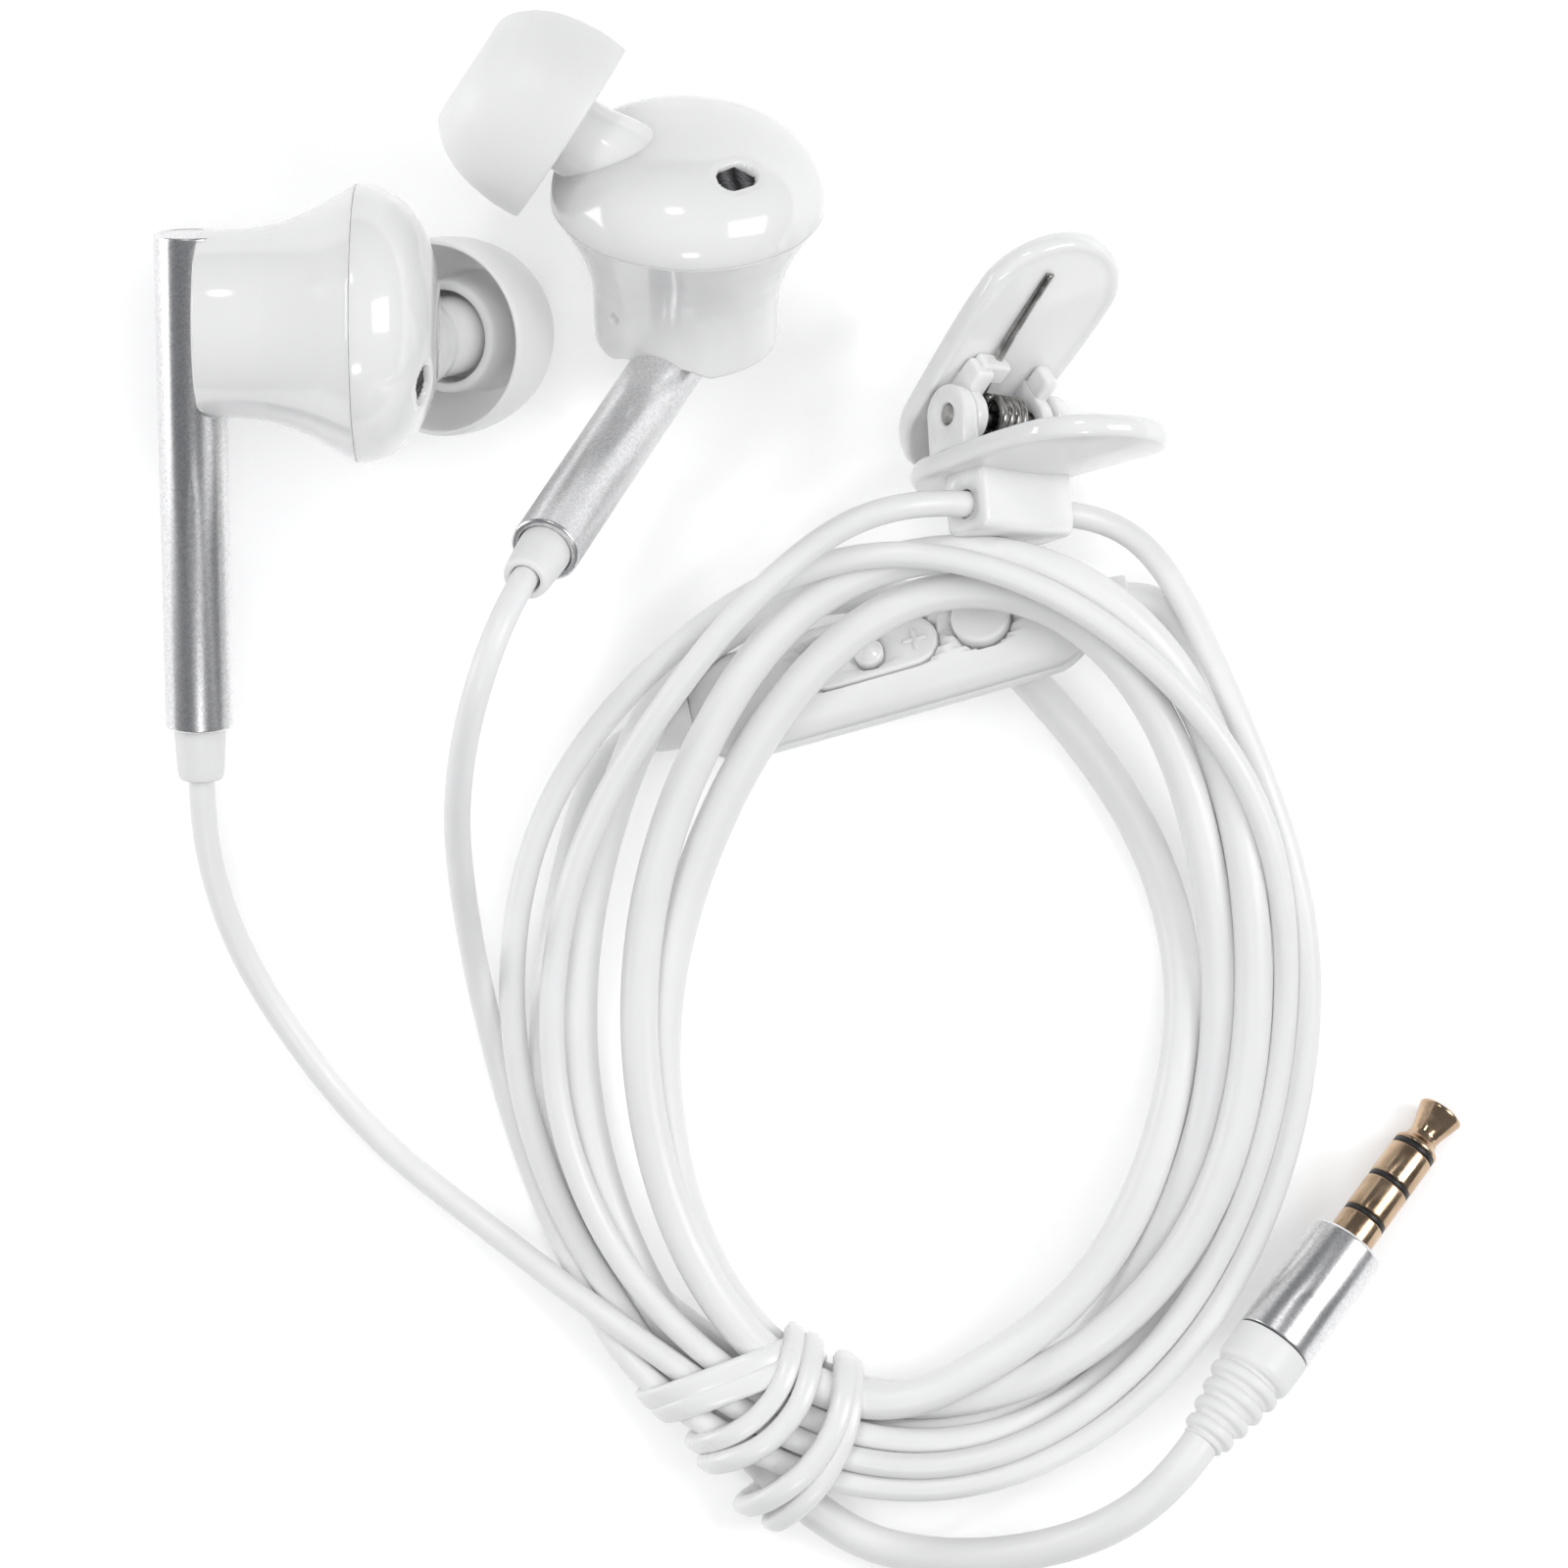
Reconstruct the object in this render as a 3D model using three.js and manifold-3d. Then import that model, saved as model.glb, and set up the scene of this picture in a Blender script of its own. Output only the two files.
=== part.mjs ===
// Wired in-ear earphones: two earbuds on metal stems, their cords wound into one coil with the
// in-line remote and the shirt clip, a tie round the coil, and a four-pole 3.5 mm plug.
// Millimetres, +Z up. The origin is under the middle of the two earbuds, on the table.

import * as THREE from "three";
import { mergeVertices } from "three/addons/utils/BufferGeometryUtils.js";
import Module from "manifold-3d";

const wasm = await Module();
wasm.setup();

// ---------------------------------------------------------------- driving dimensions

const FIT = 0.1; // clearance between parts that touch

const EAR_CORD_D = 1.9;
const MAIN_CORD_D = 2.8;

const STEM = { radius: 2.5, bore: 2.0, top: 6.5, bottom: -29.5 };
const SHELL = { back: 0.6, seam: 11.9, front: 17.8, rimRadius: 9.95, wall: 1.2 };
const NOZZLE = { rootX: 12.5, rootY: -2.0, radius: 2.9, bore: 2.1, length: 14.2 };
const RELIEF = { radius: 1.88, end: -33.4 };

const COIL = {
  centre: [30.9, -45.5],
  semiX: 24.6,
  semiY: 32.4,
  halfWidth: 3.4,
  height: 5.2,
  low: 2.3, // underside at the lowest point, above the table
  lift: 8.9, // how much higher the underside is at the far side
  highAngle: 75, // degrees round the coil where it is highest
};
const TIE = { angle: 243, length: 9, thickness: 1.5 };

const REMOTE = { length: 31, width: 8.6, half: 2.8, wall: 1.1 };
const ROCKER = { x: -1.2, length: 10.4, width: 4.2 };
const MICROPHONE_X = 4.5;
const CALL = { x: 7.4, radius: 2.2 };

const CLIP = {
  width: 12,
  mouth: -8, // along the lever, from the pin
  finger: 15,
  plate: 1.6,
  pinToPlate: 3.3,
  opening: 34, // degrees between the levers at rest
  pinRadius: 0.75,
};

const PLUG = { shellRadius: 2.95, shellLength: 9.6, contactRadius: 1.75, bootLength: 9.2 };

// ---------------------------------------------------------------- materials

function finish(colour, roughness, metalness = 0) {
  return new THREE.MeshStandardMaterial({ color: colour, roughness, metalness });
}

const gloss = finish(0xf1f1ef, 0.18);
const satin = finish(0xececea, 0.4);
const silicone = finish(0xf3f3f1, 0.5);
const cordSkin = finish(0xeeeeec, 0.45);
const aluminium = finish(0xb9bbbd, 0.32, 1);
const gold = finish(0xd6b070, 0.2, 1);
const steel = finish(0x9a9a98, 0.25, 1);
const black = finish(0x141414, 0.7);
const board = finish(0x2f6b3c, 0.5);

// ---------------------------------------------------------------- geometry helpers

// A closed triangle mesh with only positions, shared vertices merged and faces turned outwards.
function closed(geometry) {
  const bare = geometry.clone();
  bare.deleteAttribute("normal");
  bare.deleteAttribute("uv");
  bare.clearGroups();
  const merged = mergeVertices(bare, 1e-4);
  const index = merged.getIndex().array;
  const kept = [];
  for (let i = 0; i < index.length; i += 3) {
    const [a, b, c] = [index[i], index[i + 1], index[i + 2]];
    if (a !== b && b !== c && c !== a) kept.push(a, b, c);
  }
  merged.setIndex(kept);
  if (signedVolume(merged) < 0) {
    for (let i = 0; i < kept.length; i += 3) [kept[i], kept[i + 1]] = [kept[i + 1], kept[i]];
    merged.setIndex(kept);
  }
  return merged;
}

function signedVolume(geometry) {
  const position = geometry.getAttribute("position");
  const index = geometry.getIndex().array;
  const [a, b, c] = [new THREE.Vector3(), new THREE.Vector3(), new THREE.Vector3()];
  let volume = 0;
  for (let i = 0; i < index.length; i += 3) {
    a.fromBufferAttribute(position, index[i]);
    b.fromBufferAttribute(position, index[i + 1]);
    c.fromBufferAttribute(position, index[i + 2]);
    volume += a.dot(b.cross(c)) / 6;
  }
  return volume;
}

function solid(geometry) {
  const mesh = closed(geometry);
  const vertProperties = new Float32Array(mesh.getAttribute("position").array);
  const triVerts = new Uint32Array(mesh.getIndex().array);
  return new wasm.Manifold(new wasm.Mesh({ numProp: 3, vertProperties, triVerts }));
}

function geometryOf(manifold) {
  const { vertProperties, triVerts } = manifold.getMesh();
  const geometry = new THREE.BufferGeometry();
  geometry.setAttribute("position", new THREE.BufferAttribute(new Float32Array(vertProperties), 3));
  geometry.setIndex([...triVerts]);
  return geometry;
}

const joined = (...pieces) => geometryOf(pieces.map(solid).reduce((a, b) => a.add(b)));
const cut = (body, ...tools) => geometryOf(tools.map(solid).reduce((a, b) => a.subtract(b), solid(body)));

// Turns a profile of [radius, height] points about the Y axis.
function turned(profile, segments = 20) {
  return closed(new THREE.LatheGeometry(profile.map(([r, y]) => new THREE.Vector2(r, y)), segments));
}

// Turns a profile of [x, radius] points about the X axis.
function turnedX(profile, segments = 24) {
  return turned(profile.map(([x, r]) => [r, x]), segments).rotateZ(-Math.PI / 2);
}

function rod(radius, from, to, segments = 16) {
  return turned([[0, from], [radius, from], [radius, to], [0, to]], segments);
}

// A stadium of the given length (along X) and width, extruded along Z from one height to another.
function stadium(length, width, from, to, bevel = 0, arc = 6) {
  const radius = width / 2 - bevel;
  const reach = length / 2 - width / 2;
  const shape = new THREE.Shape();
  shape.absarc(reach, 0, radius, -Math.PI / 2, Math.PI / 2, false);
  shape.absarc(-reach, 0, radius, Math.PI / 2, Math.PI * 1.5, false);
  const geometry = new THREE.ExtrudeGeometry(shape, {
    depth: to - from - 2 * bevel,
    curveSegments: arc,
    bevelEnabled: bevel > 0,
    bevelThickness: bevel,
    bevelSize: bevel,
    bevelSegments: 1,
  });
  return geometry.translate(0, 0, from + bevel);
}

function block(x, y, z, centre) {
  return new THREE.BoxGeometry(x, y, z).translate(...centre);
}

// A closed tube of round section along a smooth curve through the points.
function tube(points, diameter, steps, sides = 8) {
  const path = new THREE.CatmullRomCurve3(points.map((p) => new THREE.Vector3(...p)), false, "centripetal");
  const section = new THREE.Shape();
  for (let i = 0; i <= sides; i += 1) {
    const angle = (i / sides) * Math.PI * 2;
    const corner = [(Math.cos(angle) * diameter) / 2, (Math.sin(angle) * diameter) / 2];
    if (i === 0) section.moveTo(...corner);
    else section.lineTo(...corner);
  }
  return new THREE.ExtrudeGeometry(section, { steps, extrudePath: path, bevelEnabled: false });
}

function part(name, geometry, material) {
  const mesh = new THREE.Mesh(closed(geometry), material);
  mesh.name = name;
  return mesh;
}

// A group whose X and Y axes point along the given directions (Y is squared up to X).
function framed(origin, xAxis, yAxis) {
  const x = new THREE.Vector3(...xAxis).normalize();
  const z = x.clone().cross(new THREE.Vector3(...yAxis)).normalize();
  const y = z.clone().cross(x);
  const group = new THREE.Group();
  group.quaternion.setFromRotationMatrix(new THREE.Matrix4().makeBasis(x, y, z));
  group.position.set(...origin);
  return group;
}

// The matrix that stands the Y axis along a direction at a point.
function along(point, direction) {
  const turn = new THREE.Quaternion().setFromUnitVectors(new THREE.Vector3(0, 1, 0), direction);
  return new THREE.Matrix4().compose(point, turn, new THREE.Vector3(1, 1, 1));
}

const degrees = THREE.MathUtils.degToRad;

// ---------------------------------------------------------------- earbud
// X runs from the stem to the front of the shell, Y up the stem, and the angled nozzle leans to
// +Z or -Z, because the left and right earbuds are mirror images.

function nozzleDirection(side) {
  return new THREE.Vector3(0.48, -0.05, 0.876 * side).normalize();
}

function stemTube() {
  const { radius, bore, top, bottom } = STEM;
  return turned([[radius, bottom], [radius, top], [bore, top], [bore, bottom], [radius, bottom]]);
}

function strainRelief() {
  const { radius, end } = RELIEF;
  return turned([[0, end], [radius - 0.3, end], [radius - 0.1, end + 0.5], [radius, STEM.bottom],
    [radius, STEM.bottom + 3], [0, STEM.bottom + 3]], 20);
}

function rearShell() {
  const { back, seam, rimRadius, wall } = SHELL;
  const horn = turnedX([
    [back, 0], [back, 6.5], [back + 0.4, 6.9], [4.5, 6.95], [7.2, 7.5], [9.6, 8.5], [seam, rimRadius],
    [seam, rimRadius - wall], [9.6, 7.3], [7.2, 6.3], [back + wall, 5.7], [back + wall, 0],
  ]);
  return cut(horn, rod(STEM.radius + FIT, -12, 12));
}

// The dome's outline: a squashed quarter circle from the rim to the front.
function domeProfile(depth, radius, startX, steps) {
  const points = [];
  for (let i = 0; i <= steps; i += 1) {
    const angle = (i / steps) * (Math.PI / 2);
    points.push([startX + depth * Math.sin(angle) ** 0.9, radius * Math.cos(angle) ** 0.8]);
  }
  return points;
}

function frontShell(side) {
  const { seam, front, rimRadius, wall } = SHELL;
  const start = seam + FIT;
  const outer = domeProfile(front - start, rimRadius, start, 5);
  const inner = domeProfile(front - start - wall, rimRadius - wall, start, 4);
  const dome = turnedX([...outer.reverse(), ...inner]);
  const pose = along(new THREE.Vector3(NOZZLE.rootX, NOZZLE.rootY, 0), nozzleDirection(side));
  const { radius, bore, length } = NOZZLE;
  const spout = turned([[0, 6.8], [radius, 6.8], [radius, 12.3], [radius + 0.4, 12.8],
    [radius - 0.2, length], [0, length]], 16).applyMatrix4(pose);
  const passage = rod(bore, 5, 16, 14).applyMatrix4(pose);
  return cut(joined(dome, spout), passage, ventSlot(side));
}

// The rounded slot in the dome, on the side away from the nozzle.
function ventSlot(side) {
  return stadium(3.2, 2, 0, 6, 0, 4).rotateY(Math.PI / 2).translate(12.6, -3.6, -4.9 * side);
}

function earTip(side) {
  const skirt = turned([
    [3.45, 10.6], [3.45, 14.6], [2.3, 15.2], [2.3, 17.3], [3.3, 17.9], [4.7, 17.5], [6.1, 16.1],
    [7.0, 13.7], [7.25, 11.2], [7.05, 9.3], [6.45, 9.3], [6.6, 11.2], [6.3, 13.4], [5.3, 15.2],
    [4.25, 15.7], [4.15, 10.6], [3.45, 10.6],
  ], 18);
  return skirt.applyMatrix4(along(new THREE.Vector3(NOZZLE.rootX, NOZZLE.rootY, 0), nozzleDirection(side)));
}

function nozzleScreen(side) {
  const pose = along(new THREE.Vector3(NOZZLE.rootX, NOZZLE.rootY, 0), nozzleDirection(side));
  return rod(NOZZLE.bore - FIT, NOZZLE.length - 0.6, NOZZLE.length - 0.3, 16).applyMatrix4(pose);
}

function driver() {
  return turnedX([[8.2, 0], [8.2, 3.2], [9.4, 3.2], [9.4, 5], [11.8, 5], [11.8, 0]], 20);
}

function earbud(prefix, side) {
  const bud = new THREE.Group();
  bud.add(
    part(`${prefix}_stem_tube`, stemTube(), aluminium),
    part(`${prefix}_stem_cap`, rod(STEM.bore - FIT, STEM.top - 0.9, STEM.top - 0.1), aluminium),
    part(`${prefix}_strain_relief`, strainRelief(), satin),
    part(`${prefix}_rear_shell`, rearShell(), gloss),
    part(`${prefix}_front_shell`, frontShell(side), gloss),
    part(`${prefix}_driver`, driver(), steel),
    part(`${prefix}_nozzle_screen`, nozzleScreen(side), black),
    part(`${prefix}_vent_screen`, block(0.3, 2.4, 3.4, [13.5, -3.6, -4.9 * side]), black),
    part(`${prefix}_ear_tip`, earTip(side), silicone),
  );
  return bud;
}

// ---------------------------------------------------------------- coil and tie

// Where the middle of the coil's underside is, at an angle round it.
function coilPoint(angle, offset = 0) {
  const turn = degrees(angle);
  const x = COIL.centre[0] + (COIL.semiX + offset) * Math.cos(turn);
  const y = COIL.centre[1] + (COIL.semiY + offset) * Math.sin(turn);
  return [x, y, COIL.low + (COIL.lift / 2) * (1 + Math.cos(degrees(angle - COIL.highAngle)))];
}

// The coil's outer shape: a rounded section carried round a leaning ellipse.
function coilRing(steps = 40) {
  const corners = [[-1, 0.3], [-0.6, 0], [0.6, 0], [1, 0.3], [1, 0.7], [0.6, 1], [-0.6, 1], [-1, 0.7]];
  const vertices = [];
  const triangles = [];
  for (let i = 0; i < steps; i += 1) {
    const angle = (i / steps) * 360;
    const width = COIL.halfWidth - 0.5 * Math.sin(degrees(angle));
    for (const [across, up] of corners) {
      const [x, y, z] = coilPoint(angle, across * width);
      vertices.push(x, y, z + up * COIL.height);
    }
    for (let k = 0; k < corners.length; k += 1) {
      const next = (k + 1) % corners.length;
      const here = i * corners.length;
      const there = ((i + 1) % steps) * corners.length;
      triangles.push(here + k, there + k, there + next, here + k, there + next, here + next);
    }
  }
  const geometry = new THREE.BufferGeometry();
  geometry.setAttribute("position", new THREE.Float32BufferAttribute(vertices, 3));
  geometry.setIndex(triangles);
  return geometry;
}

// A band round the bundle of cords, square to the coil where it sits.
function coilTie() {
  const shape = new THREE.Shape();
  const inside = new THREE.Path();
  const [halfWide, halfHigh] = [COIL.halfWidth + 1.3, COIL.height / 2 + 0.75];
  shape.absellipse(0, 0, halfWide + TIE.thickness, halfHigh + TIE.thickness, 0, Math.PI * 2);
  inside.absellipse(0, 0, halfWide, halfHigh, 0, Math.PI * 2);
  shape.holes.push(inside);
  const options = { depth: TIE.length, bevelEnabled: false, curveSegments: 10 };
  return new THREE.ExtrudeGeometry(shape, options).translate(0, 0, -TIE.length / 2);
}

function tieGroup() {
  const [x, y, z] = coilPoint(TIE.angle);
  const ahead = coilPoint(TIE.angle + 1);
  const tangent = new THREE.Vector3(ahead[0] - x, ahead[1] - y, ahead[2] - z).normalize();
  const across = tangent.clone().cross(new THREE.Vector3(0, 0, 1));
  const group = framed([x, y, z + COIL.height / 2], across.toArray(), across.cross(tangent).negate().toArray());
  group.add(part("cord_tie", coilTie(), cordSkin));
  return group;
}

// ---------------------------------------------------------------- free cords

const LEFT_EAR_ROUTE = [
  [-20.5, -28.1, 9.9], [-20.4, -31.7, 9], [-19.6, -36, 7.4], [-17.8, -41, 5.2], [-14.8, -46.2, 3],
  [-11, -51.4, 1.5], [-6.4, -56.2, 1], [-1.4, -60.2, 1], [2.2, -62.8, 1.4],
];

const RIGHT_EAR_ROUTE = [
  [3.8, -14.2, 32.7], [3, -15.7, 34.6], [1.9, -18.3, 36], [0.7, -21.8, 35.4], [-0.4, -25.8, 32],
  [-1.1, -29.8, 26.4], [-1.3, -33.8, 19.4], [-1.1, -38, 12.2], [-0.6, -42.4, 6.4], [0.2, -46.8, 2.9],
  [1.4, -51.6, 1.6],
];

const CLIP_ROUTE = [
  [17.6, -15.4, 16.3], [21.5, -12.4, 17], [25.34, -9.93, 17.8], [29.78, -8.34, 18], [32.7, -8.05, 16.8],
  [34.8, -8.12, 15.2], [38.1, -8.27, 12.6], [41.39, -8.53, 10], [44.23, -8.68, 8.7], [47.6, -10, 8.3],
  [50, -13.4, 9], [52, -17.2, 10.4], [53.6, -21.2, 11.6],
];

const PLUG_LEAD_ROUTE = [
  [51.8, -76.1, 11.3], [50.3, -78.1, 12], [47.9, -80.4, 12], [44.6, -82.5, 10.6], [40.6, -84, 8.2],
  [36.2, -84.9, 5.6], [31.8, -85, 3.4], [27.6, -84.4, 2.1], [24.6, -83.8, 1.8],
];

const REMOTE_LEFT_ROUTE = [
  [11.7, -24.45, 3.85], [9.5, -25.5, 3.3], [7.6, -28.4, 3], [6.6, -32.2, 3.1], [6, -36.4, 3.6],
  [5.8, -41, 4.4],
];

const REMOTE_RIGHT_ROUTE = [
  [47.5, -14.35, 7.3], [49.2, -14.5, 7.2], [50.9, -16.2, 6.7], [52, -20, 6.5], [53.2, -26, 5.6],
  [54.6, -33, 3.8], [55.4, -39.5, 2.2],
];

// ---------------------------------------------------------------- remote
// X runs along the remote and Z out of its button face.

function remoteHalf(up) {
  const { length, width, half, wall } = REMOTE;
  const shell = stadium(length, width, 0, half);
  const rounded = stadium(length, width, -half, half, 1.2);
  const cavity = stadium(length - 2 * wall, width - 2 * wall, -1, half - wall);
  const upper = geometryOf(solid(shell).intersect(solid(rounded)).subtract(solid(cavity)));
  return up ? upper.translate(0, 0, FIT / 2) : upper.rotateX(Math.PI).translate(0, 0, -FIT / 2);
}

function remoteTop() {
  const openings = [
    stadium(ROCKER.length + 0.5, ROCKER.width + 0.5, 0.5, 4).translate(ROCKER.x, 0, 0),
    rod(CALL.radius + 0.25, 0.5, 4).rotateX(Math.PI / 2).translate(CALL.x, 0, 0),
    rod(0.28, 0.5, 4, 8).rotateX(Math.PI / 2).translate(MICROPHONE_X, 0, 0),
  ];
  return cut(remoteHalf(true), ...openings);
}

function upright(radius, from, to, x, segments = 16) {
  return rod(radius, from, to, segments).rotateX(Math.PI / 2).translate(x, 0, 0);
}

function remote() {
  const group = framed([29.6, -19.4, 5.6], [0.958, 0.27, 0.092], [-0.175, 0.836, -0.519]);
  const rocker = cut(
    stadium(ROCKER.length, ROCKER.width, 0.9, 2.5).translate(ROCKER.x, 0, 0),
    upright(1.35, 0, 4, ROCKER.x),
  );
  group.add(
    part("remote_upper_shell", remoteTop(), gloss),
    part("remote_lower_shell", remoteHalf(false), gloss),
    part("remote_circuit_board", block(22, 5.4, 0.7, [0, 0, 0]), board),
    part("remote_microphone", block(0.7, 1.4, 0.5, [MICROPHONE_X, 0, 0.7]), steel),
    part("volume_rocker", rocker, satin),
    part("centre_button", upright(1.1, 0.9, 3.1, ROCKER.x), gloss),
    part("call_button", upright(CALL.radius, 0.9, 3.2, CALL.x), gloss),
  );
  const switches = { minus: ROCKER.x - 3.6, centre: ROCKER.x, plus: ROCKER.x + 3.6, call: CALL.x };
  for (const [name, x] of Object.entries(switches)) {
    group.add(part(`switch_dome_${name}`, upright(0.9, 0.4, 0.6, x, 12), steel));
  }
  for (const [name, end] of [["left", -1], ["right", 1]]) {
    const boot = turnedX([[0, 0], [0, 1.9], [2.6, 1.65], [2.6, 0]], 16);
    if (end < 0) boot.rotateZ(Math.PI);
    group.add(part(`remote_boot_${name}`, boot.translate(end * (REMOTE.length / 2 + FIT), 0, 0), satin));
  }
  return group;
}

// ---------------------------------------------------------------- clip
// The pin lies on X. Y runs along the lower jaw to its finger end, Z from it to the upper lever.

// A plate with round ends, below the pin, in a frame whose origin is the pin.
function leverPlate() {
  const { width, mouth, finger, plate, pinToPlate } = CLIP;
  const length = finger - mouth;
  const centre = (finger + mouth) / 2;
  const slab = stadium(length, width, 0, plate, 0.3).rotateZ(Math.PI / 2);
  return slab.translate(0, centre, -pinToPlate - plate / 2);
}

// An ear that stands from the plate to the pin: a post with a round end.
function ear(x, thickness, radius) {
  const height = CLIP.pinToPlate;
  const shape = new THREE.Shape();
  shape.moveTo(-radius, -height);
  shape.lineTo(radius, -height);
  shape.absarc(0, 0, radius, 0, Math.PI, false);
  const options = { depth: thickness, bevelEnabled: false, curveSegments: 8 };
  const extruded = new THREE.ExtrudeGeometry(shape, options);
  return extruded.rotateY(Math.PI / 2).rotateX(Math.PI / 2).translate(x - thickness / 2, 0, 0);
}

function pinBore() {
  return rod(CLIP.pinRadius + 0.09, -8, 8, 16).rotateZ(Math.PI / 2);
}

function lowerJaw() {
  const holder = block(8.4, 4.4, 4.6, [0, 0.4, -CLIP.pinToPlate - 2.8]);
  const channel = rod(EAR_CORD_D / 2 + 0.25, -8, 8, 12).rotateZ(Math.PI / 2);
  channel.translate(0, 0.4, -CLIP.pinToPlate - 3.3);
  const slot = block(12, 1.4, 3, [0, 0.4, -CLIP.pinToPlate - 5]);
  const body = joined(leverPlate(), ear(-4.5, 1.2, 2.2), ear(4.5, 1.2, 2.2), holder);
  return cut(body, pinBore(), channel, slot);
}

function upperLever() {
  const body = joined(leverPlate(), ear(-3.1, 1.1, 1.9), ear(3.1, 1.1, 1.9)).scale(1, 1, -1);
  return cut(body, pinBore()).rotateX(degrees(CLIP.opening));
}

// The torsion spring: a coil round the pin with a straight leg along each lever.
function springRoute() {
  const [radius, turns, halfLength] = [1.65, 4, 1.5];
  const opening = degrees(CLIP.opening);
  const rest = CLIP.pinToPlate - CLIP.plate / 2 - 0.45;
  const start = -Math.PI / 2;
  const sweep = turns * Math.PI * 2 + Math.PI + opening;
  const points = [[-halfLength, 10, -rest], [-halfLength, 4, -rest + 0.2]];
  const steps = turns * 8 + 5;
  for (let i = 0; i <= steps; i += 1) {
    const angle = start - (i / steps) * sweep;
    const x = -halfLength + (i / steps) * 2 * halfLength;
    points.push([x, radius * Math.cos(angle), radius * Math.sin(angle)]);
  }
  for (const reach of [4, 12]) {
    const [y, z] = [reach, rest - (reach < 10 ? 0.2 : 0)];
    points.push([halfLength, y * Math.cos(opening) - z * Math.sin(opening),
      y * Math.sin(opening) + z * Math.cos(opening)]);
  }
  return points;
}

function clip() {
  const group = framed([37.4, -1.9, 11.2], [-0.785, 0.054, 0.616], [0.615, 0.172, 0.77]);
  group.add(
    part("clip_lower_jaw", lowerJaw(), gloss),
    part("clip_upper_lever", upperLever(), gloss),
    part("clip_pin", rod(CLIP.pinRadius, -5, 5, 16).rotateZ(Math.PI / 2), steel),
    part("clip_spring", tube(springRoute(), 0.6, 54, 5), steel),
  );
  return group;
}

// ---------------------------------------------------------------- splitter
// The sleeve where the two ear cords become one. It lies under the coil's right side.

function splitter() {
  const group = framed([55.4, -45.8, 2.1], [0, 1, 0], [-1, 0, 0]);
  const sleeve = turnedX([[-6, 0], [-6, 1.7], [-5.2, 2], [5.2, 2], [6, 1.7], [6, 0]], 16);
  group.add(part("cord_splitter", sleeve, satin));
  return group;
}

// ---------------------------------------------------------------- plug
// Y runs along the plug towards its tip, from the front face of its shell.

function plug() {
  const group = framed([63.1, -61.8, 5.4], [0.787, -0.617, 0], [0.586, 0.748, -0.31]);
  const r = PLUG.contactRadius;
  const contact = (from, to) => rod(r, from + 0.03, to - 0.03);
  const insulator = (from, to) => rod(r - 0.06, from + 0.03, to - 0.03);
  const tip = turned([[0, 8.83], [1.72, 8.83], [1.72, 9.1], [1.2, 9.7], [1.2, 10.2], [1.72, 12.2],
    [1.6, 12.4], [0, 12.4]]);
  const { shellRadius, shellLength } = PLUG;
  const shell = turned([
    [r + FIT, -0.1], [shellRadius - 0.2, -0.1], [shellRadius, -0.3], [shellRadius, -shellLength],
    [shellRadius - 0.6, -shellLength], [shellRadius - 0.6, -1.3], [r + FIT, -1.3], [r + FIT, -0.1],
  ], 20);
  group.add(
    part("plug_sleeve_contact", contact(-1.6, 2), gold),
    part("plug_insulator_1", insulator(2, 2.4), black),
    part("plug_ring_2", contact(2.4, 5.2), gold),
    part("plug_insulator_2", insulator(5.2, 5.6), black),
    part("plug_ring_1", contact(5.6, 8.4), gold),
    part("plug_insulator_3", insulator(8.4, 8.8), black),
    part("plug_tip", tip, gold),
    part("plug_shell", shell, aluminium),
    part("plug_inner_mould", rod(2.1, -8.6, -1.8), satin),
    part("plug_boot", plugBoot(), satin),
  );
  return group;
}

// The moulded boot: a collar as wide as the shell, then ribs that taper to the cord.
function plugBoot() {
  const top = -PLUG.shellLength - FIT;
  const profile = [[0, top], [PLUG.shellRadius, top], [PLUG.shellRadius, top - 2.8]];
  for (let rib = 0; rib < 4; rib += 1) {
    const y = top - 3 - rib * 1.45;
    const radius = 2.75 - rib * 0.28;
    profile.push([radius - 0.5, y], [radius, y - 0.4], [radius, y - 0.9], [radius - 0.5, y - 1.3]);
  }
  const end = top - PLUG.bootLength;
  return turned([...profile, [1.6, end], [0, end]], 16);
}

// ---------------------------------------------------------------- the whole object

const LEFT_BUD = { origin: [-20.5, 4.6, 18], front: [1, 0, 0], up: [0, 0.97, 0.24] };
const RIGHT_BUD = { origin: [14.6, 4.3, 6.8], front: [0.026, 0.806, 0.59], up: [0.32, 0.55, -0.77] };

const earphones = new THREE.Group();
earphones.position.set(-0.92, 0.53, 0); // brings the middle of the earbuds over the origin

for (const [prefix, side, pose] of [["left", -1, LEFT_BUD], ["right", 1, RIGHT_BUD]]) {
  const holder = framed(pose.origin, pose.front, pose.up);
  holder.add(earbud(prefix, side));
  earphones.add(holder);
}

earphones.add(
  remote(),
  clip(),
  splitter(),
  plug(),
  tieGroup(),
  part("cord_coil", coilRing(), cordSkin),
  part("left_ear_cord", tube(LEFT_EAR_ROUTE, EAR_CORD_D, 20), cordSkin),
  part("right_ear_cord", tube(RIGHT_EAR_ROUTE, EAR_CORD_D, 22), cordSkin),
  part("clip_cord", tube(CLIP_ROUTE, EAR_CORD_D, 22), cordSkin),
  part("plug_lead", tube(PLUG_LEAD_ROUTE, MAIN_CORD_D, 16), cordSkin),
  part("remote_left_lead", tube(REMOTE_LEFT_ROUTE, MAIN_CORD_D, 10), cordSkin),
  part("remote_right_lead", tube(REMOTE_RIGHT_ROUTE, MAIN_CORD_D, 12), cordSkin),
);

export default earphones;
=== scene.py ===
"""Wired in-ear earphones laid on a white table: cords, earbuds, remote, clip and plug.

Positions are worked out in millimetres on the bench layout and put into the meshes in metres.
"""

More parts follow.
